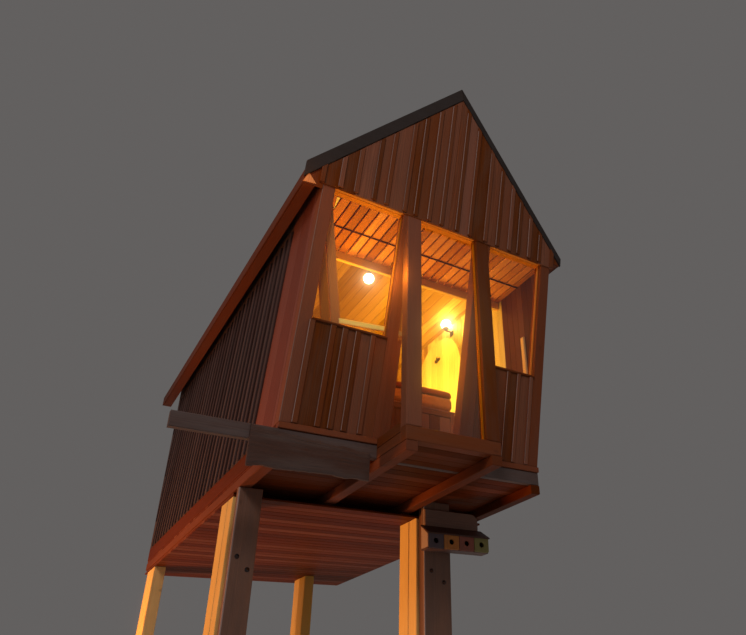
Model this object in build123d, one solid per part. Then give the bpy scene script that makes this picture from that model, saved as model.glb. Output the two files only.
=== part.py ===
from build123d import *
import math
import os

# A gabled wooden cabin on posts, with a front wall that leans outwards
# towards the roof and an upright bay window in the middle of it.
# House coordinates: X runs right along the front, Y runs inwards from the
# foot of the front wall, Z runs up from the foot of the walls.

# Cabin
width = 2600.0
depth = 4800.0
floor_height = 3700.0
lean = 0.25
wall = 120.0
side_wall = 60.0
head = 2100.0
sill = 873.0
corner = 117.0
gable_foot = 178.0
batten_start = 710.0
batten_pitch = 150.0
wall_batten = 44.0
batten_proud = 18.0
rear_boards = 9

# Bay window
bay_mid = 18.0
bay_width = 926.0
bay_post = 147.0
bay_post_depth = 100.0
bay_foot = -55.0
side_post_in = 118.0
side_post_out = 38.0
skirt = 40.0
bay_board = 30.0
pane = 10.0
cheek_pane = 8.0

# Floor
deck = 180.0
rim_top = 55.0
rim = 60.0
rim_overhang = 790.0
strip_proud = 15.0
joist = 105.0
joist_height = 90.0
soffit_packer = 27.0
soffit_board = 20.0
soffit_start = 1050.0

# Roof
roof_board = 45.0
courses = 12
course_gap = 8.0
course_board = 14.0
eave_left = 187.0
eave_right = 130.0
eave_drop_left = 62.0
eave_drop_right = 8.0
roof_back = 150.0
barge = 30.0
barge_left = 95.0
barge_right = 45.0
barge_lap = 12.0

# Posts
post_width = 300.0
post_width_left = 210.0
post_front = 900.0
post_board = 60.0
post_side = 528.0
post_back = 355.0
post_split = 0.45
post_recess = 25.0
groove = 10.0
rear_side = 590.0
rear_width = 130.0
rear_depth = 384.0
rear_front = 4230.0

# Loft
slat = 85.0
slat_gap = 25.0
slat_board = 28.0
batten = 45.0
loft_end = 400.0
loft_beam = 97.0
loft_batten = -30.0
loft_panel = 9.0
loft_panel_short = 60.0

# Lamps
globe = 130.0
globe_bands = 12
pendant_y = 1300.0
pendant_drop = 993.0
stem = 12.0
wall_lamp_before = 322.0
wall_lamp_out = 90.0
wall_lamp_drop = 118.0
arm = 24.0
rose = 70.0

# Bench
bench_left = -330.0
bench_right = 480.0
bench_front = 200.0
bench_depth = 700.0
bench_height = 497.0
cushion = 228.0
cushion_over = 20.0
pillow = 180.0
pillow_depth = 240.0
pillow_height = 120.0

# Round-topped boarding on the right wall
arch_mid = 1715.0
arch_radius = 560.0
arch_board = 40.0
arch_shoulder = 1655.0

# Sign board and nest boxes
sign_left = 1515.0
sign_right = 514.0
sign_board = 35.0
sign_drop = 82.0
sign_height = 307.0
sign_slant = 72.0
box_cell = 175.0
box_depth = 142.0
box_height = 150.0
box_pitch = 97.0
box_left = 480.0
box_drop = 530.0
box_count = 4
nest_board = 28.0
nest_board_right = 1152.0
nest_board_top = 270.0
nest_board_foot = 20.0
nest_board_round = 80.0

half = width / 2
inner = half - side_wall
ridge = head + gable_foot + half
bay_half = bay_width / 2
slope = math.sqrt(2.0)
rear = depth
under_deck = -deck
under_joist = -deck - joist_height
soffit_top = under_joist - soffit_packer
under_soffit = soffit_top - soffit_board
ground = -floor_height
roof_top = ridge + roof_board * slope
barge_top = ridge + (barge_left + barge_right) / 2 * slope
barge_low = ridge - barge_lap * slope
barge_mitre = -(barge_left - barge_right) / 2 * slope
bay_front = -lean * head
bay_back = bay_front + bay_post_depth
packer_front = post_front + post_board
packer_back = soffit_start
rim_left = -half - rim_overhang
far = 3 * depth

left_x = rim_left
right_x = half + eave_right
front_y = -lean * barge_top - barge
back_y = rear + roof_back
middle_x = (left_x + right_x) / 2
middle_y = (front_y + back_y) / 2


def block(x0, x1, y0, y1, z0, z1):
    """A box between two corners."""
    size = Box(x1 - x0, y1 - y0, z1 - z0)
    return Pos((x0 + x1) / 2, (y0 + y1) / 2, (z0 + z1) / 2) * size


def along_y(points, y0, y1):
    """The polygon of (x, z) points swept from y0 to y1."""
    face = make_face(Polyline([(x, z) for x, z in points], close=True))
    solid = extrude(Plane.XZ.offset(-y0) * face, -(y1 - y0))
    return solid


def along_x(points, x0, x1):
    """The polygon of (y, z) points swept from x0 to x1."""
    face = make_face(Polyline([(y, z) for y, z in points], close=True))
    return extrude(Plane.YZ.offset(x0) * face, x1 - x0)


def leaning(points, start, end):
    """The polygon of (x, z) points, between two planes that lean with the front wall.

    start and end are measured inwards from the outer face of the front wall.
    """
    zs = [z for x, z in points]
    low = min(zs) - 1
    high = max(zs) + 1
    xs = [x for x, z in points]
    y_low = -lean * high + start - 1
    y_high = -lean * low + end + 1
    prism = along_y(points, y_low, y_high)
    band = along_x(
        [
            (-lean * low + start, low),
            (-lean * low + end, low),
            (-lean * high + end, high),
            (-lean * high + start, high),
        ],
        min(xs) - 1,
        max(xs) + 1,
    )
    return prism & band


def behind_front(shape):
    """The part of a shape that lies behind the leaning front wall."""
    low = ground
    high = barge_top + wall
    band = along_x(
        [
            (-lean * low + wall, low),
            (far, low),
            (far, high),
            (-lean * high + wall, high),
        ],
        -half - wall,
        half + wall,
    )
    return shape & band


def across_house(shape):
    """The same shape on the other side of the house's middle plane."""
    return mirror(shape, about=Plane.YZ)


def across_bay(shape):
    """The same shape on the other side of the bay's middle plane."""
    return mirror(shape, about=Plane.YZ.offset(bay_mid))


parts = {}

# Built-up posts: a plank, a packer and two thick planks in front, two planks at the rear
post_back_end = packer_back + post_back
seam = packer_back + post_back * post_split


def built_post(x0, x1, top):
    """A front post between two sides, its plank and packer ending at top."""
    body = block(x0, x1, post_front, packer_front, ground, top)
    body += block(x0 + post_recess, x1 - post_recess, packer_front, packer_back, ground, top)
    body += block(x0, x1, packer_back, post_back_end, ground, under_soffit)
    for x in (x0, x1):
        body -= block(x - groove, x + groove, seam - groove / 2, seam + groove / 2,
                      ground - 1, under_soffit + 1)
    return body


parts["post_front_right"] = built_post(post_side, post_side + post_width, under_deck)
parts["post_front_left"] = built_post(-half, -half + post_width_left, under_joist)

rear_end = rear_side + rear_width
rear_post = block(rear_side, rear_end, rear_front, rear_front + rear_depth, ground, under_soffit)
rear_seam = rear_front + rear_depth / 2
for x in (rear_side, rear_end):
    rear_post -= block(x - groove, x + groove, rear_seam - groove / 2, rear_seam + groove / 2,
                       ground - 1, under_soffit + 1)
parts["post_rear_right"] = rear_post
parts["post_rear_left"] = Pos(-half - rear_side, 0, 0) * rear_post

# Joists
bay_right = bay_mid + bay_half
bay_left = bay_mid - bay_half
joist_right = block(bay_right - joist, bay_right, bay_front, rear, under_joist, under_deck)
parts["joist_right"] = joist_right
parts["joist_left"] = across_bay(joist_right)
side_joist = block(half - joist, half, 0, rear, under_joist, under_deck)
parts["side_joist_right"] = side_joist
parts["side_joist_left"] = across_house(side_joist)

# Floor, and the soffit on packing strips under the joists
soffit = block(-half, half, soffit_start, rear, under_soffit, soffit_top)
for x in (-half, bay_left, bay_right - joist, half - joist):
    soffit += block(x, x + joist, soffit_start, rear, soffit_top, under_joist)
parts["soffit"] = soffit
floor = block(-half, half, rim, rear, under_deck, 0)
floor += block(bay_left, bay_right, 0, rim, -rim_top, 0)
parts["floor_deck"] = floor
parts["rim_beam"] = block(rim_left, half, 0, rim, under_deck, -rim_top)

# Bay window
parts["bay_beam"] = block(bay_left, bay_right, bay_front, bay_back, under_deck, bay_foot)
upright = block(bay_right - bay_post, bay_right, bay_front, bay_back, bay_foot, head)
parts["bay_post_right"] = upright
parts["bay_post_left"] = across_bay(upright)
bay_side = block(bay_right - skirt, bay_right, bay_back, 0, under_deck, 0)
parts["bay_skirt_right"] = bay_side
parts["bay_skirt_left"] = across_bay(bay_side)
parts["bay_floor"] = block(bay_left + skirt, bay_right - skirt, bay_back, 0,
                           under_deck, under_deck + bay_board)
glass_y = (bay_front + bay_back) / 2
parts["bay_glass"] = block(bay_left + bay_post, bay_right - bay_post, glass_y, glass_y + pane,
                           bay_foot, head)
cheek_x = bay_right - skirt / 2
cheek = along_x([(bay_back, 0), (0, 0), (bay_back, -bay_back / lean)],
                cheek_x - cheek_pane / 2, cheek_x + cheek_pane / 2)
parts["cheek_glass_right"] = cheek
parts["cheek_glass_left"] = across_bay(cheek)

# Front wall
frame_edge = half - corner
corner_post = leaning([(frame_edge, 0), (half, 0), (half, head), (frame_edge, head)], 0, wall)
parts["corner_post_right"] = corner_post
parts["corner_post_left"] = across_house(corner_post)
post_in = bay_right - side_post_in
post_out = bay_right + side_post_out
side_post = leaning([(post_in, 0), (post_out, 0), (post_out, head), (post_in, head)], 0, wall)
side_post -= upright
parts["wall_post_right"] = side_post
parts["wall_post_left"] = across_bay(side_post)
glass_in = (wall - pane) / 2
fields = {
    "right": (post_out, frame_edge, bay_right, half),
    "left": (-frame_edge, 2 * bay_mid - post_out, -half, bay_left),
}
for name, (x0, x1, strip0, strip1) in fields.items():
    panel = leaning([(x0, 0), (x1, 0), (x1, sill), (x0, sill)], 0, wall)
    panel += block(strip0, strip1, -strip_proud, rim, -rim_top, 0)
    parts["wall_front_" + name] = panel
    window = [(x0, sill), (x1, sill), (x1, head), (x0, head)]
    parts["window_glass_" + name] = leaning(window, glass_in, glass_in + pane)
wall_top = ridge - half
gable = [(-half, head), (half, head), (half, wall_top), (0, ridge), (-half, wall_top)]
parts["gable_front"] = leaning(gable, 0, wall)

# Side walls, with battens that lean like the corner and end under the eave
side = [(inner, 0), (half, 0), (half, wall_top), (inner, ridge - inner)]
wall_end = rear - wall


def boarded_wall(batten_top):
    """The right side wall, its battens ending at batten_top."""
    solid = behind_front(along_y(side, bay_front - wall, wall_end))
    shift = lean * batten_top
    reach = wall_end + shift - wall_batten - batten_start
    for step in range(int(reach // batten_pitch) + 1):
        foot_y = batten_start + step * batten_pitch
        top_y = foot_y - shift
        strip = along_x([(foot_y, 0), (foot_y + wall_batten, 0), (top_y + wall_batten, batten_top),
                         (top_y, batten_top)], half, half + batten_proud)
        solid += strip & block(half, far, -far, wall_end, ground, far)
    return solid


parts["wall_right"] = boarded_wall(ridge - half - eave_right - eave_drop_right)
parts["wall_left"] = across_house(boarded_wall(ridge - half - eave_left - eave_drop_left))

# Rear wall, with upright battens over the joints of its boards
rear_solid = along_y(
    [(-half, 0), (half, 0), (half, wall_top), (0, ridge), (-half, wall_top)],
    wall_end, rear)
for step in range(1, rear_boards):
    near_x = step * half / rear_boards - wall_batten / 2
    far_x = near_x + wall_batten
    strip = along_y([(near_x, 0), (far_x, 0), (far_x, ridge - far_x), (near_x, ridge - near_x)],
                    rear, rear + batten_proud)
    rear_solid += strip + across_house(strip)
parts["wall_rear"] = rear_solid


def roof_half(eave, drop):
    """One roof slope on the right in courses of boards, with the closed box under its eave."""
    edge = half + eave
    plumb = ridge - edge
    points = [(0, ridge), (half, wall_top), (half, plumb - drop), (edge, plumb - drop),
              (edge, plumb + roof_board * slope), (0, roof_top)]
    body = leaning(points, 0, far) & block(-1, far, -far, back_y, ground, far)
    along = course_gap / 2 / slope
    deep = course_board / slope
    for step in range(1, courses):
        x = step * edge / courses
        z = roof_top - x
        gap = [(x - along + deep, z + along + deep), (x + along + deep, z - along + deep),
               (x + along - deep, z - along - deep), (x - along - deep, z + along - deep)]
        body -= along_y(gap, -far, far)
    return body


def barge_half(side, eave, height):
    """One edge board along the front of the roof, mitred with the other at the top."""
    edge = half + eave
    high = ridge + height * slope
    return leaning([(0, barge_low), (side * edge, barge_low - edge), (side * edge, high - edge),
                    (barge_mitre, barge_top)], -barge, 0)


# Roof
parts["roof_right"] = roof_half(eave_right, eave_drop_right)
parts["roof_left"] = across_house(roof_half(eave_left, eave_drop_left))
parts["barge_boards"] = barge_half(-1, eave_left, barge_left) + barge_half(1, eave_right, barge_right)

# Loft of spaced slats on two battens, with a beam at its open end and a panel on top
slats = block(-inner, inner, bay_front, bay_front + wall + batten, head - batten, head)
slats += block(-inner, inner, loft_batten, loft_batten + batten, head - batten, head)
slats += block(-inner, inner, loft_end - batten, loft_end, head - loft_beam, head)
pitch = slat + slat_gap
count = int((2 * inner + slat_gap) // pitch)
first = -(count * pitch - slat_gap) / 2
for index in range(count):
    x = first + index * pitch
    slats += block(x, x + slat, bay_front, loft_end, head, head + slat_board)
slat_top = head + slat_board
slats += block(-inner, inner, bay_front, loft_end - loft_panel_short, slat_top, slat_top + loft_panel)
parts["loft"] = behind_front(slats)



def lamp_globe(x, y, z):
    """A lamp's globe about a point, its round profile in short straight bands."""
    radius = globe / 2
    turns = [math.pi * band / globe_bands for band in range(1, globe_bands)]
    profile = [(radius * math.sin(turn), -radius * math.cos(turn)) for turn in turns]
    face = Plane.XZ * make_face(Polyline([(0, -radius)] + profile + [(0, radius)], close=True))
    return Pos(x, y, z) * revolve(face, Axis.Z)


# Pendant lamp under the ridge
pendant_z = ridge - pendant_drop
stem_top = ridge - stem / 2
pendant = lamp_globe(0, pendant_y, pendant_z)
pendant += block(-stem / 2, stem / 2, pendant_y - stem / 2, pendant_y + stem / 2,
                 pendant_z, stem_top)
parts["pendant_lamp"] = pendant

# Wall lamp on the right wall
lamp_x = inner - wall_lamp_out
lamp_y = arch_mid - wall_lamp_before
lamp_z = ridge - lamp_x - wall_lamp_drop
arm_top = lamp_z - globe / 2 - stem
arm_low = arm_top - arm
lamp = lamp_globe(lamp_x, lamp_y, lamp_z)
lamp += block(lamp_x - arm / 2, lamp_x + arm / 2, lamp_y - arm / 2, lamp_y + arm / 2,
              arm_low, lamp_z)
lamp += block(lamp_x, inner, lamp_y - arm / 2, lamp_y + arm / 2, arm_low, arm_top)
lamp += block(inner - stem, inner, lamp_y - rose / 2, lamp_y + rose / 2,
              arm_top - rose, arm_top)
parts["wall_lamp"] = lamp

# Bench with its cushion and pillow
bench_back = bench_front + bench_depth
cushion_top = bench_height + cushion
parts["bench"] = block(bench_left, bench_right, bench_front, bench_back, 0, bench_height)
parts["bench_cushion"] = block(bench_left, bench_right, bench_front - cushion_over, bench_back,
                               bench_height, cushion_top)
parts["pillow"] = block(bench_left, bench_left + pillow, bench_front, bench_front + pillow_depth,
                        cushion_top, cushion_top + pillow_height)

# Round-topped boarding on the right wall
arch_start = arch_mid - arch_radius
arch_end = arch_mid + arch_radius
sides = Polyline([(arch_start, arch_shoulder), (arch_start, 0), (arch_end, 0),
                  (arch_end, arch_shoulder)])
crown = ThreePointArc((arch_end, arch_shoulder), (arch_mid, arch_shoulder + arch_radius),
                      (arch_start, arch_shoulder))
arch_plane = Plane.YZ.offset(inner - arch_board)
parts["arched_board"] = extrude(arch_plane * make_face(sides + crown), arch_board)

# Bare sign board on the rim beam
sign_foot = -sign_drop - sign_height
parts["sign_board"] = along_y(
    [(-sign_left, -sign_drop), (-sign_right, -sign_drop - sign_slant),
     (-sign_right, sign_foot + sign_slant / 6), (-sign_left, sign_foot)],
    -sign_board, 0)

# Row of nest boxes with a sloping top, on a board across the front right post
box_foot = -box_drop - box_height
board_face = post_front - nest_board
board_solid = block(post_side, nest_board_right, board_face, post_front,
                    box_foot + nest_board_foot, -nest_board_top)
free_edges = board_solid.edges().filter_by(Axis.Y).sort_by(Axis.X)[-2:]
parts["nest_board"] = fillet(free_edges.sort_by(Axis.Z)[-1:], nest_board_round)
nest = along_x(
    [(board_face - box_depth, box_foot), (board_face, box_foot),
     (board_face, -box_drop + box_pitch), (board_face - box_depth, -box_drop)],
    box_left, box_left + box_count * box_cell)
parts["nest_boxes"] = nest

os.makedirs("parts", exist_ok=True)
for name, shape in parts.items():
    placed = Pos(-middle_x, -middle_y, floor_height) * shape
    solids = placed.solids()
    result = solids[0] if len(solids) == 1 else Compound(children=list(solids))
    result.label = name
    export_step(result, os.path.join("parts", name + ".step"))
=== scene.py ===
# %% [markdown]
# # A tree house, dressed in boards
#
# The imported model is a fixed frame: walls, floor, roof and posts as plain solids, each at its real place and size.
# This lesson covers them with what the eye sees: upright boards and battens, planed beams, pine lining, panes, lamps
# and a cushioned bench. Every piece is in metres and sits where the solid under it sits.

# %% Load the frame
import math

import bpy
import numpy as np
from mathutils import Matrix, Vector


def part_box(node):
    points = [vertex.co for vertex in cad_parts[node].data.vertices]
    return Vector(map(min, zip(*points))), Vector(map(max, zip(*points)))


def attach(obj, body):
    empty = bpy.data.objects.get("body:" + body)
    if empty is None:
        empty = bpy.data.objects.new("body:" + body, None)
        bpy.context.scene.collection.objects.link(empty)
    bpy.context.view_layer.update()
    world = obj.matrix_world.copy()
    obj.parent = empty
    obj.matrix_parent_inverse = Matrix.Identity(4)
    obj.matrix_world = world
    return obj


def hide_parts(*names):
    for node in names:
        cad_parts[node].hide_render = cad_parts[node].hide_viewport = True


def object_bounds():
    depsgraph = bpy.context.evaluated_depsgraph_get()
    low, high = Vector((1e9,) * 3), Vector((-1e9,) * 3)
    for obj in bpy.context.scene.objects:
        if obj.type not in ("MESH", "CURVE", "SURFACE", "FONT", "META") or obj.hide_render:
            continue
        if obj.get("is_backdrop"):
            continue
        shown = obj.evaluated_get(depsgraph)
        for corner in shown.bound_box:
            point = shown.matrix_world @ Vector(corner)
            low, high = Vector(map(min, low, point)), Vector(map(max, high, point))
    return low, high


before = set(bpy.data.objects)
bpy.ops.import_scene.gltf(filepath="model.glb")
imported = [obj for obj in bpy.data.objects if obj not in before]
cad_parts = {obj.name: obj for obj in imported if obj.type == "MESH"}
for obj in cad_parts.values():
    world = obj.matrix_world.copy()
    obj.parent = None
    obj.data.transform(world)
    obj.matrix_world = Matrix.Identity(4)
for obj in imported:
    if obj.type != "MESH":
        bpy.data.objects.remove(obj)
box_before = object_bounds()
rng = np.random.default_rng(11)
print("nodes in the frame:", len(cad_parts))

# %% [markdown]
# The house has its own handy coordinates: x to the right along the front, y inwards from the foot of the front wall,
# z up from the floor. The floor deck gives their zero point, and `put` moves an array of points from there into the
# frame. The front wall leans outwards by a quarter of a metre for each metre of height, so a point of its face is
# found from x, z and how far behind the face it lies.

# %% House coordinates
floor_low, floor_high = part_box("floor_deck")
ZERO = np.array([(floor_low.x + floor_high.x) / 2, floor_low.y, floor_high.z])
LEAN = 0.25


def put(points):
    """House points as frame points: the zero point is added."""
    return np.asarray(points, float) + ZERO


def lowest(name):
    """A node's lowest corner in house coordinates, as three plain numbers."""
    return (np.array(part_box(name)[0]) - ZERO).tolist()


def highest(name):
    """A node's highest corner in house coordinates, as three plain numbers."""
    return (np.array(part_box(name)[1]) - ZERO).tolist()


def solid(name):
    """Both corners of a node as arrays."""
    return np.array(lowest(name)), np.array(highest(name))


HALF, _, RIDGE = highest("wall_rear")
DEPTH = highest("floor_deck")[1]
HEAD = highest("corner_post_right")[2]
SILL = lowest("window_glass_left")[2]
GROUND = lowest("post_front_right")[2]
INNER = lowest("wall_right")[0]
BAY_LEFT, BAY_FRONT, UNDER_DECK = lowest("bay_beam")
BAY_RIGHT, BAY_BACK, BAY_FOOT = highest("bay_beam")
print(f"half width {HALF:.3f}, depth {DEPTH:.3f}, head {HEAD:.3f}, sill {SILL:.3f}, ridge {RIDGE:.3f}")

# %% [markdown]
# ## Camera
#
# The photograph was taken from low on the left, looking up at the leaning front. Lines of the wall, the bay, the
# floor and the roof gave the place and the turn of the camera. A Blender camera looks along its own -Z with +Y up, so
# three unit vectors make its matrix. The picture's middle isn't the lens's middle, which is what `shift_x` says.

# %% Camera
FOCUS, MIDDLE_X, MIDDLE_Y = 668.8, 482.0, 322.0
YAW, PITCH, ROLL = (math.radians(a) for a in (35.7, 30.7, -3.3))
EYE = np.array([-2.8184, -4.9378, -2.1058])
WIDE, TALL = 746, 635
SENSOR = 36.0


def camera_axes(yaw, pitch, roll):
    """Right, up and forward: the level view turned by yaw, tipped up by pitch, then rolled about the view."""
    forward = np.array([math.sin(yaw) * math.cos(pitch), math.cos(yaw) * math.cos(pitch), math.sin(pitch)])
    level = np.array([math.cos(yaw), -math.sin(yaw), 0.0])
    rise = np.cross(level, forward)
    right = level * math.cos(roll) + rise * math.sin(roll)
    up = rise * math.cos(roll) - level * math.sin(roll)
    return right, up, forward


camera_data = bpy.data.cameras.new("camera")
camera = bpy.data.objects.new("camera", camera_data)
bpy.context.scene.collection.objects.link(camera)
right, up, forward = camera_axes(YAW, PITCH, ROLL)
matrix = np.eye(4)
matrix[:3, 0], matrix[:3, 1], matrix[:3, 2], matrix[:3, 3] = right, up, -forward, put(EYE)
camera.matrix_world = Matrix(matrix.tolist())
camera_data.sensor_width = SENSOR
camera_data.lens = FOCUS * SENSOR / WIDE
camera_data.shift_x = (WIDE / 2 - MIDDLE_X) / WIDE
camera_data.shift_y = (MIDDLE_Y - TALL / 2) / WIDE
camera_data.clip_end = 200.0
bpy.context.scene.camera = camera
print("lens mm", round(camera_data.lens, 2), "shift", round(camera_data.shift_x, 3), round(camera_data.shift_y, 3))

# %% [markdown]
# ## Light, floor and sky
#
# The lamps inside do most of the work: two warm globes fill the room and shine out through the panes. Around the
# house stays a plain, soft studio: an even grey world, one broad pale sheet of light from high in front, and a warm
# one from low on the left, further back, which colours the underside and the left faces of the posts and leaves their
# fronts dark. Two more pale sheets show the roof, the back and the right side. Small warm lights by the bay and the
# eave stand for the glow that the glass lets out. The lights themselves are kept out of the picture. The floor is one
# pale plane. The Standard view keeps strong oranges as they are; the softer default view would pull them towards pink.

# %% Studio
WARM = (1.0, 0.6, 0.06)
AMBER = (1.0, 0.36, 0.05)
bpy.context.scene.view_settings.view_transform = "Standard"


def unseen(lamp):
    """The light itself stays out of the picture and out of the panes; only what it lights is seen."""
    lamp.visible_camera = lamp.visible_transmission = lamp.visible_glossy = False
    return lamp


def aimed(lamp, place, target):
    """The lamp at a house point, turned so that its own -Z looks at the target: away, side and their cross product."""
    bpy.context.scene.collection.objects.link(lamp)
    away = np.array(place, float) - np.array(target, float)
    away /= np.linalg.norm(away)
    side = np.cross((0.0, 0.0, 1.0), away)
    side /= np.linalg.norm(side)
    turn = np.eye(4)
    turn[:3, 0], turn[:3, 1], turn[:3, 2], turn[:3, 3] = side, np.cross(away, side), away, put(place)
    lamp.matrix_world = Matrix(turn.tolist())
    return lamp


def light_area(name, place, target, size, watts, colour, spread=180):
    """A square sheet of light at a house point, facing the target; spread is the full angle of its beam in degrees."""
    data = bpy.data.lights.new(name, "AREA")
    data.shape, data.size, data.energy, data.color = "SQUARE", size, watts, colour
    data.spread = math.radians(spread)
    lamp = bpy.data.objects.new(name, data)
    return unseen(aimed(lamp, place, target))


def light_point(name, place, radius, watts, colour):
    """A small glowing ball at a house point."""
    data = bpy.data.lights.new(name, "POINT")
    data.shadow_soft_size, data.energy, data.color = radius, watts, colour
    lamp = bpy.data.objects.new(name, data)
    bpy.context.scene.collection.objects.link(lamp)
    lamp.location = put(place)
    return unseen(lamp)


world = bpy.data.worlds.new("studio")
bpy.context.scene.world = world
world.use_nodes = True
world.node_tree.nodes["Background"].inputs["Color"].default_value = (0.56, 0.53, 0.52, 1)
world.node_tree.nodes["Background"].inputs["Strength"].default_value = 0.22
PENDANT = np.array([0.0, 1.3, RIDGE - 0.993])
WALL_LAMP = np.array([INNER - 0.09, 1.393, RIDGE - (INNER - 0.09) - 0.118])
light_point("glow_pendant", PENDANT, 0.07, 38, WARM)
light_point("glow_wall_lamp", WALL_LAMP + np.array([-0.2, -0.05, -0.14]), 0.05, 4.8, WARM)
light_area("glow_up", (0.0, 1.6, 0.75), (0.0, 1.7, 3.0), 1.5, 55, WARM)
light_area("glow_down", (0.0, 1.6, 1.9), (0.0, 1.5, 0.0), 1.2, 12, WARM)
light_point("glow_left", (-0.8, 0.3, 1.4), 0.1, 12, WARM)
light_point("glow_bay_inside", (-0.05, -0.36, 0.8), 0.06, 4.5, AMBER)
light_point("glow_bay_outside", (-0.6, -0.53, 1.4), 0.06, 6.0, WARM)
light_point("glow_eave", (-1.6, -0.75, 1.95), 0.06, 1.3, AMBER)
light_area("sheet_front", (-6.0, -8.0, 5.0), (0, 0, 1.8), 2.4, 290, (0.98, 0.92, 0.97))
light_area("sheet_low_left", (-5.4, 5.2, -2.2), (0.5, 1.6, -1.3), 2.0, 132, (1.0, 0.42, 0.08), 95)
light_area("sheet_back", (5.5, 9.5, 5.5), (0, 2.5, 0.8), 3.0, 420, (1.0, 0.96, 0.92))
light_area("sheet_top", (0.5, 2.5, 8.5), (0, 2.4, 2), 3.0, 260, (1.0, 0.96, 0.92))

# %% [markdown]
# The floor belongs to the studio and not to the house. One flat, pale, matt square is enough, because it only has to
# take the house's soft shadow; it lies at the posts' feet, where the frame puts the ground.

# %% Studio floor
def stage_floor(size):
    """The floor: one square of that width, laid at the frame's ground."""
    mesh = bpy.data.meshes.new("floor_sheet")
    h = size / 2
    mesh.from_pydata([(-h, -h, 0), (h, -h, 0), (h, h, 0), (-h, h, 0)], [], [(0, 1, 2, 3)])
    sheet = bpy.data.objects.new("floor_sheet", mesh)
    bpy.context.scene.collection.objects.link(sheet)
    material = bpy.data.materials.new("floor_pale")
    material.use_nodes = True
    shader = material.node_tree.nodes["Principled BSDF"]
    shader.inputs["Base Color"].default_value = (0.55, 0.55, 0.56, 1)
    shader.inputs["Roughness"].default_value = 0.8
    mesh.materials.append(material)
    sheet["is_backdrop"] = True


stage_floor(60.0)
print("floor laid")

# %% [markdown]
# A lens spreads the light of a bare lamp into a soft halo. A render has no lens, so the same is done to the finished
# picture: the Glare node takes what is brighter than white, blurs it widely and adds a little of it back.

# %% Halo of the lamps
stage_scene = bpy.context.scene
stage_scene.use_nodes = True
halo_tree = stage_scene.node_tree
halo_tree.nodes.clear()
picture = halo_tree.nodes.new("CompositorNodeRLayers")
halo = halo_tree.nodes.new("CompositorNodeGlare")
halo.glare_type, halo.quality = "FOG_GLOW", "HIGH"
for title, value in (("Threshold", 1.0), ("Strength", 1.0), ("Saturation", 1.0), ("Size", 0.45)):
    halo.inputs[title].default_value = value
shown = halo_tree.nodes.new("CompositorNodeComposite")
halo_tree.links.new(picture.outputs["Image"], halo.inputs["Image"])
halo_tree.links.new(halo.outputs["Image"], shown.inputs["Image"])
print("halo:", [socket.name for socket in halo.inputs if socket.enabled])

# %% [markdown]
# ## A helper for wiring nodes
#
# Shader nodes are easier to read when each line makes one node and joins it. `Wires` holds a node tree and has one
# short method for each kind of node that the finishes below use.

# %% Wiring helper
class Wires:
    """A node tree with short calls: each makes one node, joins its inputs and gives back its main output."""

    def __init__(self, tree):
        self.tree = tree

    def node(self, kind, **settings):
        made = self.tree.nodes.new(kind)
        for key, value in settings.items():
            setattr(made, key, value)
        return made

    def join(self, socket, value):
        if isinstance(value, bpy.types.NodeSocket):
            self.tree.links.new(value, socket)
        elif value is not None:
            socket.default_value = value

    def fill(self, made, values):
        for title, value in values.items():
            self.join(made.inputs[title], value)
        return made

    def math(self, operation, a, b=None, c=None, clamp=False):
        made = self.node("ShaderNodeMath", operation=operation, use_clamp=clamp)
        for socket, value in zip(made.inputs, (a, b, c)):
            self.join(socket, value)
        return made.outputs[0]

    def vector(self, operation, a, b=None):
        made = self.node("ShaderNodeVectorMath", operation=operation)
        self.join(made.inputs[0], a)
        self.join(made.inputs[1], b)
        return made.outputs["Value" if operation == "LENGTH" else "Vector"]

    def ramp(self, value, low, high, to_low=0.0, to_high=1.0):
        made = self.node("ShaderNodeMapRange", interpolation_type="SMOOTHSTEP")
        for socket, given in zip(made.inputs, (value, low, high, to_low, to_high)):
            self.join(socket, given)
        return made.outputs[0]

    def mix(self, share, a, b, blend="MIX"):
        made = self.node("ShaderNodeMix", data_type="RGBA", blend_type=blend, clamp_factor=True)
        self.join(made.inputs[0], share)
        self.join(made.inputs[6], a)
        self.join(made.inputs[7], b)
        return made.outputs[2]

    def noise(self, vector, scale, detail=2.0, rough=0.5):
        made = self.fill(self.node("ShaderNodeTexNoise"), {"Vector": vector, "Scale": scale, "Detail": detail,
                                                           "Roughness": rough})
        return made.outputs["Fac"]

    def object_noise(self, scale, detail):
        return self.noise(self.node("ShaderNodeTexCoord").outputs["Object"], scale, detail)

    def relief(self, height, strength, reach):
        made = self.fill(self.node("ShaderNodeBump"), {"Height": height, "Strength": strength, "Distance": reach})
        return made.outputs["Normal"]

    def parts(self, vector):
        made = self.node("ShaderNodeSeparateXYZ")
        self.join(made.inputs[0], vector)
        return made.outputs


print("wiring helper ready")

# %% [markdown]
# Two more helpers start a tree. A material begins as one Principled shader. A group is a small tree with named inputs
# and outputs, so that one figure of wood or weave can be placed in many materials with other values each time.

# %% Materials and groups
def new_material(name):
    """A new material, its Principled shader and the short calls for its tree."""
    material = bpy.data.materials.new(name)
    material.use_nodes = True
    return material, material.node_tree.nodes["Principled BSDF"], Wires(material.node_tree)


def new_group(name, inputs, outputs):
    """An empty node group with those sockets: (name, kind, value) for inputs and (name, kind) for outputs."""
    group = bpy.data.node_groups.new(name, "ShaderNodeTree")
    for title, kind, value in inputs:
        socket = group.interface.new_socket(title, in_out="INPUT", socket_type="NodeSocket" + kind)
        if value is not None:
            socket.default_value = value
    for title, kind in outputs:
        group.interface.new_socket(title, in_out="OUTPUT", socket_type="NodeSocket" + kind)
    wires = Wires(group)
    return group, wires, wires.node("NodeGroupInput").outputs, wires.node("NodeGroupOutput").inputs


print("materials before the first finish:", len(bpy.data.materials))

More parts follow.
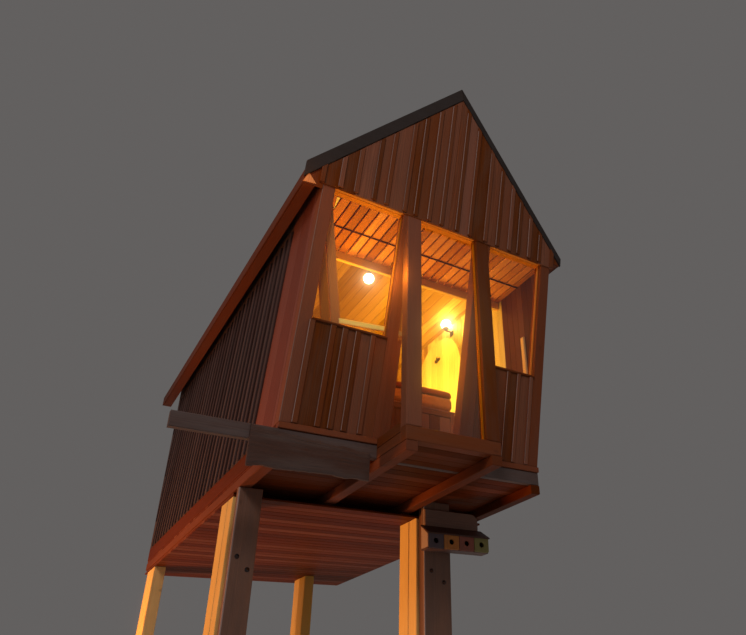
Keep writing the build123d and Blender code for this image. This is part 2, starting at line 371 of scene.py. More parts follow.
# %% [markdown]
# ## Wood, once for every board
#
# A board is cut from a trunk, so its figure is a slice through long, slightly wavering rings. The group below works
# that out in the board's own space: x across, y through, z along the grain, all in metres. The distance from a pith
# line beside the board, bent a little by noise, goes through a sine and gives growth rings; stretched fine noise gives
# fibres; a few cells of a Voronoi pattern become knots; broad noise greys what the weather has reached. Each board
# carries its own shift in that space and a tone of its own, so no two look alike.

# %% Timber group
timber, w, g, out = new_group(
    "timber_figure",
    [("Vector", "Vector", None), ("Tone", "Float", 0.5), ("Light", "Color", (0.5, 0.3, 0.15, 1)),
     ("Dark", "Color", (0.2, 0.1, 0.05, 1)), ("Figure", "Float", 0.5), ("Knots", "Float", 0.5),
     ("Weather", "Float", 0.3), ("Grey", "Color", (0.2, 0.19, 0.18, 1))],
    [("Color", "Color"), ("Roughness", "Float"), ("Height", "Float")])
PITH = (0.045, 0.07, 0.0)
RING_PITCH, RING_WAVER = 0.009, 0.05
FIBRE_SCALE, FIBRE_STRETCH = 240.0, 0.035
KNOT_CELLS, KNOT_RADIUS, KNOT_REACH = 4.2, 0.075, 0.2
long_space = w.vector("MULTIPLY", g["Vector"], (1.0, 1.0, 0.09))
waver = w.noise(long_space, 7.0, 2.0)
pith = w.vector("MULTIPLY", w.vector("ADD", g["Vector"], PITH), (1.0, 1.0, 0.0))
radius = w.math("ADD", w.vector("LENGTH", pith), w.math("MULTIPLY", waver, RING_WAVER))
ring = w.math("SINE", w.math("MULTIPLY", radius, 2 * math.pi / RING_PITCH))
ring = w.ramp(ring, -0.9, 1.0)
fibre = w.noise(w.vector("MULTIPLY", g["Vector"], (1.0, 1.0, FIBRE_STRETCH)), FIBRE_SCALE, 3.0, 0.6)
cells = w.fill(w.node("ShaderNodeTexVoronoi"), {"Vector": w.vector("MULTIPLY", g["Vector"], (1.0, 0.35, 0.5)),
                                                "Scale": KNOT_CELLS})
chosen = w.ramp(w.parts(cells.outputs["Color"])[0], 0.5, 0.55)
knot = w.math("MULTIPLY", w.ramp(cells.outputs["Distance"], KNOT_RADIUS, 0.03), chosen)
knot = w.math("MULTIPLY", knot, g["Knots"])
knot_rim = w.math("MULTIPLY", w.ramp(cells.outputs["Distance"], KNOT_REACH, 0.05), chosen)
knot_rim = w.math("MULTIPLY", knot_rim, g["Knots"])
grain = w.math("ADD", w.math("MULTIPLY", w.math("MULTIPLY", ring, g["Figure"]), 0.6),
               w.math("MULTIPLY", fibre, 0.55), clamp=True)
base = w.mix(grain, g["Light"], g["Dark"])
base = w.mix(w.math("MULTIPLY", knot_rim, 0.35), base, g["Dark"])
base = w.mix(w.math("MULTIPLY", knot, 0.85), base, w.mix(0.6, g["Dark"], (0.02, 0.01, 0.006, 1)))
tone = w.math("MULTIPLY_ADD", g["Tone"], 0.7, 0.65)
shade = w.fill(w.node("ShaderNodeHueSaturation"), {
    "Value": tone, "Saturation": w.math("MULTIPLY_ADD", g["Tone"], -0.25, 1.12), "Color": base})
patch = w.noise(w.vector("MULTIPLY", g["Vector"], (1.0, 1.0, 0.3)), 5.0, 4.0, 0.6)
streak = w.noise(w.vector("MULTIPLY", g["Vector"], (1.0, 1.0, 0.06)), 34.0, 2.0)
wear = w.math("MULTIPLY", w.ramp(w.math("MULTIPLY_ADD", streak, 0.4, w.math("MULTIPLY", patch, 0.7)), 0.42, 0.72),
              g["Weather"])
w.join(out["Color"], w.mix(wear, shade.outputs["Color"], g["Grey"]))
w.join(out["Roughness"], w.math("ADD", w.math("MULTIPLY", fibre, 0.25), w.math("MULTIPLY_ADD", wear, 0.2, 0.42)))
w.join(out["Height"], w.math("SUBTRACT", w.math("MULTIPLY_ADD", fibre, 0.6, w.math("MULTIPLY", ring, 0.25)),
                             w.math("MULTIPLY", knot, 0.5)))
print("timber group nodes:", len(timber.nodes))

# %% [markdown]
# A finish is a material that places the group with its own two woods, weather and knots. Every board that is made
# below carries two attributes: `grain`, its own coordinates, and `tone`, how light it is. The finish reads both.

# %% Timber finishes
def timber_finish(name, light, dark, figure=0.5, knots=0.5, weather=0.3, grey=(0.16, 0.13, 0.12), bump=0.35,
                  shine=0.5):
    """A Principled wood whose figure follows each board's own grain; shine is the strength of its gloss."""
    material, shader, wires = new_material(name)
    grain, tone = (wires.node("ShaderNodeAttribute", attribute_name=given) for given in ("grain", "tone"))
    group = wires.fill(wires.node("ShaderNodeGroup", node_tree=timber), {
        "Vector": grain.outputs["Vector"], "Tone": tone.outputs["Fac"], "Light": (*light, 1), "Dark": (*dark, 1),
        "Figure": figure, "Knots": knots, "Weather": weather, "Grey": (*grey, 1)})
    wires.fill(shader, {"Base Color": group.outputs["Color"], "Roughness": group.outputs["Roughness"],
                        "Specular IOR Level": shine, "Normal": wires.relief(group.outputs["Height"], bump, 0.004)})
    return material


cladding = timber_finish("cladding_boards", (0.28, 0.078, 0.024), (0.115, 0.027, 0.008), 0.5, 0.8, 0.35,
                         (0.165, 0.088, 0.056), shine=0.25)
# weathered grey boards, kept darker than the front as painted shade on the side walls
side_cladding = timber_finish("side_boards", (0.09, 0.042, 0.034), (0.045, 0.021, 0.017), 0.5, 0.6, 0.5,
                              (0.08, 0.056, 0.05))
framing = timber_finish("frame_timber", (0.28, 0.072, 0.022), (0.135, 0.03, 0.009), 0.4, 0.35, 0.25,
                        (0.155, 0.085, 0.058), shine=0.25)
# painted shade: the underside's timber is kept very dark and warm, for the shade and warm glow under the floor
under_in_shade = timber_finish("floor_timber", (0.18, 0.036, 0.004), (0.09, 0.017, 0.002), 0.5, 0.5, 0.2, (0.08, 0.026, 0.008),
                      shine=0.1)
post_wood = timber_finish("post_timber", (0.26, 0.125, 0.075), (0.14, 0.062, 0.034), 0.5, 0.5, 0.4,
                          (0.11, 0.075, 0.06))
# partly painted light: newer golden wood, whose strong gold also stands for the warm light on the posts
post_gold_lit = timber_finish("post_new_timber_lit", (0.92, 0.6, 0.2), (0.66, 0.36, 0.08), 0.5, 0.6, 0.12,
                          (0.3, 0.17, 0.08))
pine = timber_finish("pine_lining", (0.72, 0.46, 0.1), (0.5, 0.25, 0.04), 0.55, 0.7, 0.0)
pale_pine = timber_finish("pale_pine", (0.86, 0.76, 0.4), (0.7, 0.52, 0.2), 0.5, 0.6, 0.0)
loft_pine = timber_finish("loft_pine", (0.78, 0.3, 0.04), (0.5, 0.14, 0.012), 0.55, 0.5, 0.0)
crate_wood = timber_finish("crate_timber", (0.13, 0.055, 0.035), (0.08, 0.032, 0.018), 0.4, 0.3, 0.3,
                           (0.1, 0.06, 0.05))
# painted light: pine pushed to near-white yellow, for the lamp light on the rail
lit_rail_pine = timber_finish("lit_rail_pine", (0.97, 0.8, 0.16), (0.86, 0.62, 0.09), 0.4, 0.3, 0.0, shine=0.2)
honey = timber_finish("honey_timber", (0.66, 0.26, 0.05), (0.42, 0.13, 0.02), 0.5, 0.5, 0.0)
dark_boards = timber_finish("dark_lining", (0.12, 0.024, 0.004), (0.06, 0.012, 0.002), 0.5, 0.3, 0.0)
# painted highlight: a pale wood for strips and faces that stand for light falling on them
highlight_wood = timber_finish("painted_highlight_edge", (0.42, 0.27, 0.22), (0.24, 0.13, 0.1), 0.4, 0.2, 0.4, (0.3, 0.22, 0.19))
# painted warm light: the first side boards behind the front corner are redder, for the warm light on them
warm_lit_side = timber_finish("side_boards_warm_lit", (0.27, 0.062, 0.028), (0.14, 0.028, 0.012), 0.5, 0.5, 0.15,
                         (0.14, 0.06, 0.04))
roof_wood = timber_finish("roof_boards", (0.045, 0.03, 0.024), (0.02, 0.014, 0.011), 0.5, 0.3, 0.5,
                          (0.05, 0.04, 0.036))
bench_wood = timber_finish("bench_timber", (0.3, 0.11, 0.04), (0.16, 0.05, 0.016), 0.4, 0.4, 0.1)
sign_wood = timber_finish("sign_timber", (0.13, 0.06, 0.04), (0.045, 0.022, 0.015), 0.8, 0.9, 0.75,
                          (0.11, 0.076, 0.063), 0.8)
roof_core = timber_finish("roof_core", (0.2, 0.075, 0.04), (0.1, 0.035, 0.02), 0.4, 0.3, 0.2)
rim_wood = timber_finish("rim_wood", (0.12, 0.07, 0.055), (0.06, 0.035, 0.028), 0.5, 0.5, 0.6, (0.14, 0.11, 0.1))
panel_wood = timber_finish("loft_panel", (0.1, 0.022, 0.006), (0.05, 0.012, 0.004), 0.4, 0.2, 0.0)
print("timber finishes:", [m.name for m in bpy.data.materials if m.use_nodes])

# %% [markdown]
# ## One way to make every board
#
# Each board, post and plate is an outline carried along its thickness: four rings of the outline, of which the first
# and the last are drawn in by the width of the chamfer, and a cap on each. The outline is flat, in the board's own u
# and v; a basis of three vectors then sets it into the house, and because that basis may be sheared, the same boards
# stand on the leaning front wall and still end level at its foot. A few widths of chamfer serve the whole house:
# crisp, broken, sawn, eased and planed. So do two gaps: HAIR at a board's side and CLEAR where two pieces meet.

# %% Board builder
ACROSS, INWARD, UP = np.eye(3)
LEAN_UP = np.array([0.0, -LEAN, 1.0])
FRONT = (np.zeros(3), ACROSS, LEAN_UP, INWARD)
PLUMB = (np.zeros(3), ACROSS, UP, INWARD)
LEVEL = (np.zeros(3), ACROSS, INWARD, UP)
CRISP, BROKEN, SAWN, EASED, PLANED = 0.0002, 0.002, 0.003, 0.004, 0.006
HAIR, CLEAR = 0.001, 0.002
SLIP, LOG = 0.03, 9


def pairs(values):
    """Neighbouring values, two by two."""
    return zip(values[:-1], values[1:])


def grid(across, high):
    """The point numbers of a grid and its faces, each between a point and the next one in both directions."""
    index = np.arange(across * high).reshape(across, high)
    return index, np.stack([index[:-1, :-1], index[1:, :-1], index[1:, 1:], index[:-1, 1:]], -1).reshape(-1, 4)


def drawn_in(outline, amount):
    """The outline with each side moved inwards: a corner goes along the sum of its two side normals over 1 + cos."""
    ahead = np.roll(outline, -1, 0) - outline
    ahead = ahead / np.linalg.norm(ahead, axis=1)[:, None]
    normal = np.stack([-ahead[:, 1], ahead[:, 0]], 1)
    before = np.roll(normal, 1, 0)
    share = 1 + (normal * before).sum(1)
    return outline + amount * (normal + before) / np.maximum(share, 0.3)[:, None]


class Boards:
    """Collects boards, with their grain and tone, and turns them into one piece."""

    def __init__(self):
        self.points, self.grain, self.tone, self.faces, self.count = [], [], [], [], 0

    def keep(self, points, faces, grain, tone):
        self.points.append(points)
        self.grain.append(grain)
        self.tone.append(np.full(len(points), tone))
        self.faces += [tuple(i + self.count for i in face) for face in faces]
        self.count += len(points)

    def add(self, outline, near, far, basis=FRONT, chamfer=EASED, along=1, tone=None):
        """A board: the outline at depths near, near + chamfer, far - chamfer and far, drawn in at both ends.

        near and far may be one number or one for each corner, for a board whose two ends aren't parallel.
        """
        outline = np.asarray(outline, float)
        near, far = near * np.ones(len(outline)), far * np.ones(len(outline))
        turn = np.roll(outline, -1, 0)
        if (outline[:, 0] * turn[:, 1] - turn[:, 0] * outline[:, 1]).sum() < 0:
            outline, near, far = outline[::-1], near[::-1], far[::-1]
        inside = drawn_in(outline, chamfer)
        flat = np.concatenate([inside, outline, outline, inside])
        k = len(outline)
        depth = np.concatenate([near, near + chamfer, far - chamfer, far])
        origin, u, v, w = basis
        points = origin + flat[:, :1] * u + flat[:, 1:] * v + depth[:, None] * w
        j = np.arange(k)
        n = (j + 1) % k
        sides = np.concatenate([np.stack([j, n, n + k, j + k], 1) + ring * k for ring in range(3)])
        faces = sides.tolist() + [j[::-1].tolist(), (j + 3 * k).tolist()]
        if np.linalg.det(np.stack([u, v, w])) < 0:
            faces = [face[::-1] for face in faces]
        local = np.stack([flat[:, 1 - along], depth, flat[:, along]], 1)
        middle = local.mean(0) * np.array([1.0, 1.0, 0.0])
        shift = np.array([rng.uniform(-SLIP, SLIP), rng.uniform(-SLIP, SLIP), rng.uniform(0, LOG)])
        given = rng.uniform(0, 1)
        self.keep(points, faces, local - middle + shift, given if tone is None else tone)
        return self

    def piece(self, name, finish, slot, *nodes):
        """The collected boards as one object in the frame, riding on the house and standing for those nodes."""
        made = new_piece(name, np.concatenate(self.points), self.faces, finish, slot, *nodes)
        grain = made.data.attributes.new("grain", "FLOAT_VECTOR", "POINT")
        grain.data.foreach_set("vector", np.concatenate(self.grain).astype(np.float32).ravel())
        tone = made.data.attributes.new("tone", "FLOAT", "POINT")
        tone.data.foreach_set("value", np.concatenate(self.tone).astype(np.float32))
        return made


print("board builder ready")

# %% [markdown]
# A finished set of boards becomes one object with one finish. It rides on the house and hides the frame's solids that
# it stands for. Most timbers are straight and square, so `beam` makes those from two opposite corners and works out
# by itself which way the grain runs.

# %% Pieces and beams
def new_piece(name, points, faces, finish, slot, *nodes, smooth=False):
    """A mesh object from house points, with its finish and the nodes that it stands for; slot is not used."""
    mesh = bpy.data.meshes.new(name)
    mesh.from_pydata(put(points).tolist(), [], faces)
    mesh.polygons.foreach_set("use_smooth", [smooth] * len(mesh.polygons))
    mesh.materials.append(finish)
    made = bpy.data.objects.new(name, mesh)
    bpy.context.scene.collection.objects.link(made)
    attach(made, "root")
    if nodes:
        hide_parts(*nodes)
    return made


def rect(u0, u1, v0, v1):
    """The outline of a rectangle."""
    return np.array([(u0, v0), (u1, v0), (u1, v1), (u0, v1)])


def beam(boards, x0, x1, y0, y1, z0, z1, chamfer=PLANED, tone=None):
    """A straight timber between two corners, its grain along its longest side."""
    low, high = np.array([x0, y0, z0]), np.array([x1, y1, z1])
    thin, mid, long = np.argsort(high - low)
    basis = (np.zeros(3), np.eye(3)[mid], np.eye(3)[long], np.eye(3)[thin])
    return boards.add(rect(low[mid], high[mid], low[long], high[long]), low[thin], high[thin], basis, chamfer,
                      tone=tone)


# %% [markdown]
# ## Board and batten
#
# The walls are wide upright boards edge to edge, and over each joint a narrow raised strip that throws a line of
# shadow. One function lays such a wall from a list of seams and a list of strips, on any face of the house. Each strip
# also gets a painted highlight: a pale strip on its left edge, standing for the light that catches it on the real wall.

# %% Cladding helpers
WALL = 0.12
BOARD = 0.02
LAP = 0.018
CORNER_IN = HALF - 0.117
POST_LEFT = (lowest("wall_post_left")[0], highest("wall_post_left")[0])
POST_RIGHT = (lowest("wall_post_right")[0], highest("wall_post_right")[0])
SEAM_GAP = 0.0015
BOARD_CHAMFER = 0.0025
BATTEN_SHORT, BATTEN_LIFT = 0.016, 0.004
# sizes of the painted highlight strips along the batten edges
PROUD, HIGHLIGHT_OUT, HIGHLIGHT_IN, HIGHLIGHT_DEEP, HIGHLIGHT_SHORT = 0.0006, 0.0005, 0.0045, 0.006, 0.02
SILL_OUT = 0.004
WALL_TOP = RIDGE - HALF
painted_highlight_edges = Boards()


def clad(seams, low, high, near, top=None, battens=(), basis=FRONT, lift=BATTEN_LIFT, edges=painted_highlight_edges):
    """Boards between neighbouring seams from low to high, or up to top(u), and battens as (u0, u1) strips on them."""
    boards = Boards()
    for a, b in pairs(seams):
        a, b = a + SEAM_GAP, b - SEAM_GAP
        ends = (high, high) if top is None else (top(a), top(b))
        boards.add([(a, low), (b, low), (b, ends[1]), (a, ends[0])], near, near + BOARD, basis, BOARD_CHAMFER)
    for a, b in battens:
        ends = (high, high) if top is None else (top(a) - BATTEN_SHORT, top(b) - BATTEN_SHORT)
        boards.add([(a, low + lift), (b, low + lift), (b, ends[1]), (a, ends[0])], near - LAP, near, basis)
        edge_of(a, low + lift + EASED, min(ends) - EASED, near - LAP, basis, edges)
    return boards


def edge_of(a, low, high, near, basis=FRONT, edges=painted_highlight_edges):
    """A painted highlight: a pale strip of five millimetres on a batten's left edge, half a millimetre proud."""
    edges.add(rect(a - HIGHLIGHT_OUT, a + HIGHLIGHT_IN, low, high), near - PROUD, near + HIGHLIGHT_DEEP, basis, CRISP)


def core(name, outline, near, far, basis=FRONT, finish=pine):
    """The wall's thickness behind its boards."""
    Boards().add(outline, near, far, basis, BROKEN).piece(name, finish, "inner_timber")


def wall_outline(foot, inset):
    """The five corners of a gabled wall from that height up, drawn in by the inset at its sides and its peak."""
    side = HALF - inset
    return [(-side, foot), (side, foot), (side, WALL_TOP), (0, RIDGE - inset), (-side, WALL_TOP)]


print("top of the side walls", round(WALL_TOP, 3))

# %% [markdown]
# ## The leaning front: lower panels
#
# Left and right of the bay stands a low panel under its window. The seams follow the real wall, so they are unevenly
# spaced. A thin sill strip closes each panel on top, and behind the boards stands the wall's own thickness, whose edge
# shows in the window openings.

# %% Lower panels
left_battens = [(-1.205, -1.155), (-1.015, -0.965), (-0.905, -0.855), (-0.785, -0.735), (-0.640, -0.595)]
left_seams = [-CORNER_IN] + [(a + b) / 2 for a, b in left_battens[1:]] + [POST_LEFT[0]]
right_battens = [(0.625, 0.665), (0.845, 0.885), (0.970, 1.010), (1.125, 1.165)]
right_seams = [POST_RIGHT[1]] + [(a + b) / 2 for a, b in right_battens[:-1]] + [CORNER_IN]
CAP = 0.018
clad(left_seams, 0.0, SILL - CAP, 0.0, battens=left_battens).piece(
    "front_boards_left", cladding, "weathered_boards", "wall_front_left")
clad(right_seams, 0.0, SILL - CAP, 0.0, battens=right_battens).piece(
    "front_boards_right", cladding, "weathered_boards", "wall_front_right")
sills = Boards()
for u0, u1 in ((-CORNER_IN, POST_LEFT[0]), (POST_RIGHT[1], CORNER_IN)):
    sills.add(rect(u0 + HAIR, u1 - HAIR, SILL - CAP + HAIR, SILL - HAIR), -LAP - SILL_OUT, BOARD - HAIR, FRONT, SAWN,
              along=0, tone=0.2)
sills.piece("sill_strips", framing, "frame_timber")
core("front_core_left", rect(-CORNER_IN, POST_LEFT[0], 0, SILL), BOARD, WALL)
core("front_core_right", rect(POST_RIGHT[1], CORNER_IN, 0, SILL), BOARD, WALL)
print("front boards:", len(left_seams) - 1, len(right_seams) - 1)

# %% [markdown]
# ## The gable
#
# The gable runs over the whole width, a board's thickness further out than the panels. The same function lays it; its
# boards end on the slant under the roof's edge boards, so their tops come from a function of x. Two flat strips close
# its ends.

# %% Gable
BARGE_LAP = 0.017
GABLE_OUT = -0.018
GABLE_FOOT = HEAD - 0.022
GABLE_STRIP, GABLE_BATTEN_HALF = 0.045, 0.023


def gable_top(u):
    """Where the gable's boards end under the edge boards of the roof."""
    return RIDGE - abs(u) - BARGE_LAP


gable_lines = [-1.150, -1.000, -0.820, -0.690, -0.500, -0.380, -0.230, -0.090, 0.090, 0.240, 0.430, 0.580, 0.730,
               0.850, 0.990, 1.130]
GABLE_ENDS = (-1.345, 1.325)
gable_seams = sorted([0.0, *GABLE_ENDS] + gable_lines)
gable_battens = [(x - GABLE_BATTEN_HALF, x + GABLE_BATTEN_HALF) for x in gable_lines]
gable = clad(gable_seams, GABLE_FOOT, None, GABLE_OUT, gable_top, gable_battens, lift=0.012)
for end, inward in zip(GABLE_ENDS, (GABLE_STRIP, -GABLE_STRIP)):
    gable.add([(end, GABLE_FOOT), (end + inward, GABLE_FOOT), (end + inward, gable_top(end + inward)),
               (end, gable_top(end))], GABLE_OUT - LAP, GABLE_OUT)
gable.piece("gable_boards", cladding, "weathered_boards", "gable_front")
core("gable_core", wall_outline(HEAD, inset=0.02), near=0.004, far=WALL, finish=loft_pine)
print("gable boards:", len(gable_seams) - 1)

# %% [markdown]
# ## Corner posts, leaning posts and the bay
#
# Planed posts frame the openings. The corner posts and the pair beside the bay lean with the wall; the bay's own two
# posts, its beam and its skirts stand plumb, so between the two a narrow triangle opens that is glazed. A chamfer of
# a few millimetres catches light along each edge, as planed timber does.

# %% Front frame
POST_CHAMFER = 0.005
posts = Boards()
posts.add(rect(-HALF, -CORNER_IN, 0, HEAD), 0, WALL, FRONT, POST_CHAMFER, tone=0.75)
posts.add(rect(CORNER_IN, HALF, 0, HEAD), 0, WALL, FRONT, POST_CHAMFER, tone=0.45)
# painted highlights along the corner post's left edge and the left panel's left edge
edge_of(-HALF, EASED, HEAD - HIGHLIGHT_SHORT, 0.0)
edge_of(-CORNER_IN, EASED, SILL - CAP, 0.0)
posts.piece("corner_posts", framing, "frame_timber", "corner_post_left", "corner_post_right")
leaning = Boards()
leaning.add(rect(*POST_LEFT, 0, HEAD), 0, WALL, FRONT, POST_CHAMFER, tone=0.6)
leaning.add(rect(*POST_RIGHT, 0, HEAD), 0, WALL, FRONT, POST_CHAMFER, tone=0.5)
leaning.piece("leaning_posts", framing, "frame_timber", "wall_post_left", "wall_post_right")

BAY_POST, SKIRT, SOLE = 0.147, 0.04, 0.03
STRIP_OUT, STRIP_IN, STRIP_TALL = 0.015, 0.06, 0.055
bay = Boards()
for low, high in ((BAY_LEFT, BAY_LEFT + BAY_POST), (BAY_RIGHT - BAY_POST, BAY_RIGHT)):
    beam(bay, low, high, BAY_FRONT, BAY_BACK, BAY_FOOT, HEAD)
bay.piece("bay_posts", framing, "frame_timber", "bay_post_left", "bay_post_right")
beam(Boards(), BAY_LEFT, BAY_RIGHT, BAY_FRONT, BAY_BACK, UNDER_DECK, BAY_FOOT - CLEAR, PLANED, 0.4).piece(
    "bay_beam_timber", framing, "frame_timber", "bay_beam")
skirts = Boards()
for low, high in ((BAY_LEFT, BAY_LEFT + SKIRT), (BAY_RIGHT - SKIRT, BAY_RIGHT)):
    beam(skirts, low, high, BAY_BACK, 0, UNDER_DECK, UNDER_DECK / 2 - HAIR, EASED)
    beam(skirts, low, high, BAY_BACK, 0, UNDER_DECK / 2 + HAIR, 0, EASED)
skirts.piece("bay_skirts", framing, "frame_timber", "bay_skirt_left", "bay_skirt_right")
sole = Boards()
for y0, y1 in pairs(np.linspace(BAY_BACK, 0, 5)):
    beam(sole, BAY_LEFT + SKIRT, BAY_RIGHT - SKIRT, y0 + CLEAR, y1 - CLEAR, UNDER_DECK, UNDER_DECK + SOLE, SAWN)
sole.piece("bay_sole_boards", under_in_shade, "floor_timber", "bay_floor")

strips = Boards()
for x0, x1 in ((-HALF, BAY_LEFT - CLEAR), (BAY_RIGHT + CLEAR, HALF)):
    beam(strips, x0, x1, -STRIP_OUT, STRIP_IN, -STRIP_TALL, -0.002, EASED, 0.5)
strips.piece("foot_strips", framing, "frame_timber")
# painted highlights: the pale edge strips of the front and the gable become one piece
painted_highlight_edges.piece("painted_highlight_edges", highlight_wood, "weathered_boards")
print("bay between", round(BAY_LEFT, 3), "and", round(BAY_RIGHT, 3))

# %% [markdown]
# ## Panes
#
# The panes are kept from the frame: flat glass needs no more shape, only its material. It is clear, a little smeared,
# and lets light through without the dark shadow that a solid pane would throw, because shadow rays see it as plainly
# transparent.

# %% Panes
glass, pane_shader, wires = new_material("clear_pane")
smear = wires.object_noise(3.0, 4.0)
wires.fill(pane_shader, {"Base Color": (0.97, 0.98, 0.97, 1), "Transmission Weight": 1.0, "IOR": 1.45,
                         "Roughness": wires.ramp(smear, 0.3, 0.8, 0.0, 0.05)})
clear = wires.node("ShaderNodeBsdfTransparent")
blend = wires.node("ShaderNodeMixShader")
for socket, given in zip(blend.inputs, (wires.node("ShaderNodeLightPath").outputs["Is Shadow Ray"],
                                        pane_shader.outputs[0], clear.outputs[0])):
    wires.join(socket, given)
wires.join(glass.node_tree.nodes["Material Output"].inputs["Surface"], blend.outputs[0])
for name in ("bay_glass", "cheek_glass_left", "cheek_glass_right", "window_glass_left", "window_glass_right"):
    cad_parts[name].data.materials.clear()
    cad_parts[name].data.materials.append(glass)

print("panes dressed in", glass.name)

# %% [markdown]
# Thin pine beads hold each pane and glow from the room behind them. Behind the left pane runs a low rail, and a
# slanting brace with a second, lower one crosses its corner.

# %% Glazing beads, rail and braces
BEAD, BEAD_CHAMFER = 0.008, 0.0015
LEANING_BEADS, BAY_BEADS = ((0.044, 0.0545), (0.0655, 0.076)), ((0.038, 0.0495), (0.0605, 0.072))
RAIL_DEPTH, BRACE_DEPTH, PROP_DEPTH = (0.085, 0.112), (0.092, 0.117), (0.098, 0.117)
beads = Boards()


def bead_frame(u0, u1, v0, v1, near, far, basis=FRONT):
    """Thin strips just inside an opening, at its two sides and its foot."""
    beads.add(rect(u0, u0 + BEAD, v0, v1), near, far, basis, BEAD_CHAMFER)
    beads.add(rect(u1 - BEAD, u1, v0, v1), near, far, basis, BEAD_CHAMFER)
    beads.add(rect(u0 + BEAD, u1 - BEAD, v0, v0 + BEAD), near, far, basis, BEAD_CHAMFER, along=0)


for near, far in LEANING_BEADS:
    bead_frame(-CORNER_IN, POST_LEFT[0], SILL, HEAD, near, far)
    bead_frame(POST_RIGHT[1], CORNER_IN, SILL, HEAD, near, far)
for near, far in BAY_BEADS:
    bead_frame(BAY_LEFT + BAY_POST, BAY_RIGHT - BAY_POST, BAY_FOOT, HEAD, BAY_FRONT + near, BAY_FRONT + far, PLUMB)
beads.piece("glazing_beads", loft_pine, "inner_timber")

rail = [(-0.915, SILL + 0.062), (POST_LEFT[0], SILL + 0.098), (POST_LEFT[0], SILL + 0.143), (-0.925, SILL + 0.107)]
# painted light: the rail's near-white yellow stands for the lamp light on it
Boards().add(rail, *RAIL_DEPTH, FRONT, SAWN, along=0, tone=1.0).piece("window_rail", lit_rail_pine, "inner_timber")
wedge = [(-1.079, -0.226), (-1.121, -0.405), (-1.090, -0.405)]
Boards().add(wedge, HEAD - 0.006, HEAD, LEVEL, 0.001, tone=1.0).piece("loft_edge_strip", pale_pine, "inner_timber")
STUD = 0.024
brace = Boards()
brace.add([(-0.972, SILL), (-0.885, SILL), (-1.183, HEAD), (-1.183, 1.74)], *BRACE_DEPTH, FRONT, SAWN, tone=0.6)
brace.add([(-1.062, SILL), (-0.980, SILL), (-1.183, 1.706), (-1.183, 1.37)], *PROP_DEPTH, FRONT, SAWN, tone=0.2)
brace.piece("window_brace", honey, "inner_timber")
beam(Boards(), INNER - STUD, INNER, -0.062, -0.010, 0.86, 1.43, SAWN, 1.0).piece("short_stud", pine, "inner_timber")
print("beads:", beads.count, "points")

# %% [markdown]
# ## Side walls
#
# On the real house the boards of the side wall run parallel to the leaning corner, not plumb. In the outline's own
# plane that is a shear again: u is the distance behind the leaning corner and v the height, so a level top stays
# level. At the rear the plumb corner cuts the last boards on the slant.

# %% Side walls
REAR_IN = DEPTH - WALL
BATTEN_FIRST, BATTEN_PITCH, BATTEN_HALF = 0.732, 0.15, 0.022
SIDE_BATTENS = BATTEN_FIRST + BATTEN_PITCH * np.arange(30)
SIDE_SEAMS = [0.12, 0.19, 0.45, *SIDE_BATTENS, 5.2, DEPTH + LEAN * WALL_TOP]
LINING, LINING_BOARD, LINING_FIRST = 0.01, 0.095, -0.45
LEAST_WIDE, LEAST_TALL = 0.02, 0.05
EAVE = {-1: lowest("roof_left")[0], 1: highest("roof_right")[0]}
DROP = {-1: 0.062, 1: 0.008}
SHADE_END, LAMP_LIT_END = 0.32, 1.95


def side_board(u0, u1, top, end):
    """A board's outline from its foot to its top, cut by the plumb line at y = end where it starts behind it."""
    foot = [max(0.0, (u - end) / LEAN) for u in (u0, u1)]
    return [(u0, foot[0]), (u1, foot[1]), (u1, top), (u0, top)]


def side_wall(side, name, node):
    """Boards and battens on one side wall; side is -1 for left and +1 for right."""
    face, through = side * HALF * ACROSS, -side * ACROSS
    basis = (face, INWARD, LEAN_UP, through)
    boards, first = Boards(), Boards()
    for a, b in pairs(SIDE_SEAMS):
        outline = np.array(side_board(a + SEAM_GAP, b - SEAM_GAP, WALL_TOP, DEPTH))
        if outline[1, 1] > WALL_TOP - LEAST_WIDE:
            outline = outline[[0, 2, 3]]
        # painted warm light: the boards before the first batten take the redder finish
        (first if b < BATTEN_FIRST + 0.01 else boards).add(outline, 0.0, BOARD, basis, BOARD_CHAMFER)
    eave_foot = RIDGE - abs(EAVE[side]) - DROP[side]
    for middle in SIDE_BATTENS:
        boards.add(side_board(middle - BATTEN_HALF, middle + BATTEN_HALF, eave_foot, REAR_IN), -LAP, 0.0, basis)
    boards.piece(name + "_boards", side_cladding, "weathered_boards", node)
    first.piece(name + "_first_boards", warm_lit_side, "weathered_boards")
    outline = [(WALL, 0), (REAR_IN, 0), (REAR_IN, WALL_TOP), (-LEAN * WALL_TOP + WALL, WALL_TOP)]
    core(name + "_core", outline, BOARD, HALF - INNER - LINING, (face, INWARD, UP, through))
    lining, shaded, lamp_lit_lining = Boards(), Boards(), Boards()
    lining_basis = (side * INNER * ACROSS, INWARD, UP, through)
    tops = WALL_TOP + (HALF - INNER)
    for a in np.arange(LINING_FIRST, REAR_IN, LINING_BOARD):
        b = min(a + LINING_BOARD, REAR_IN)
        lows = [max(0.0, (WALL - y) / LEAN) for y in (a, b)]
        if b - a > LEAST_WIDE and max(lows) < tops - LEAST_TALL:
            # painted light and shade on the right lining: dark boards at the front for its shade, pale ones round the
            # wall lamp
            chosen = lining if side < 0 or a > LAMP_LIT_END else shaded if b < SHADE_END else lamp_lit_lining
            chosen.add([(a, lows[0]), (b, lows[1]), (b, tops), (a, tops)], -LINING, 0.0, lining_basis, SAWN)
    lining.piece(name + "_lining", pine, "inner_timber")
    if side > 0:
        shaded.piece(name + "_dark_lining", dark_boards, "inner_timber")
        lamp_lit_lining.piece(name + "_pale_lining", pale_pine, "inner_timber")


side_wall(-1, "side_left", "wall_left")
side_wall(1, "side_right", "wall_right")
print("side boards", len(SIDE_SEAMS) - 1)

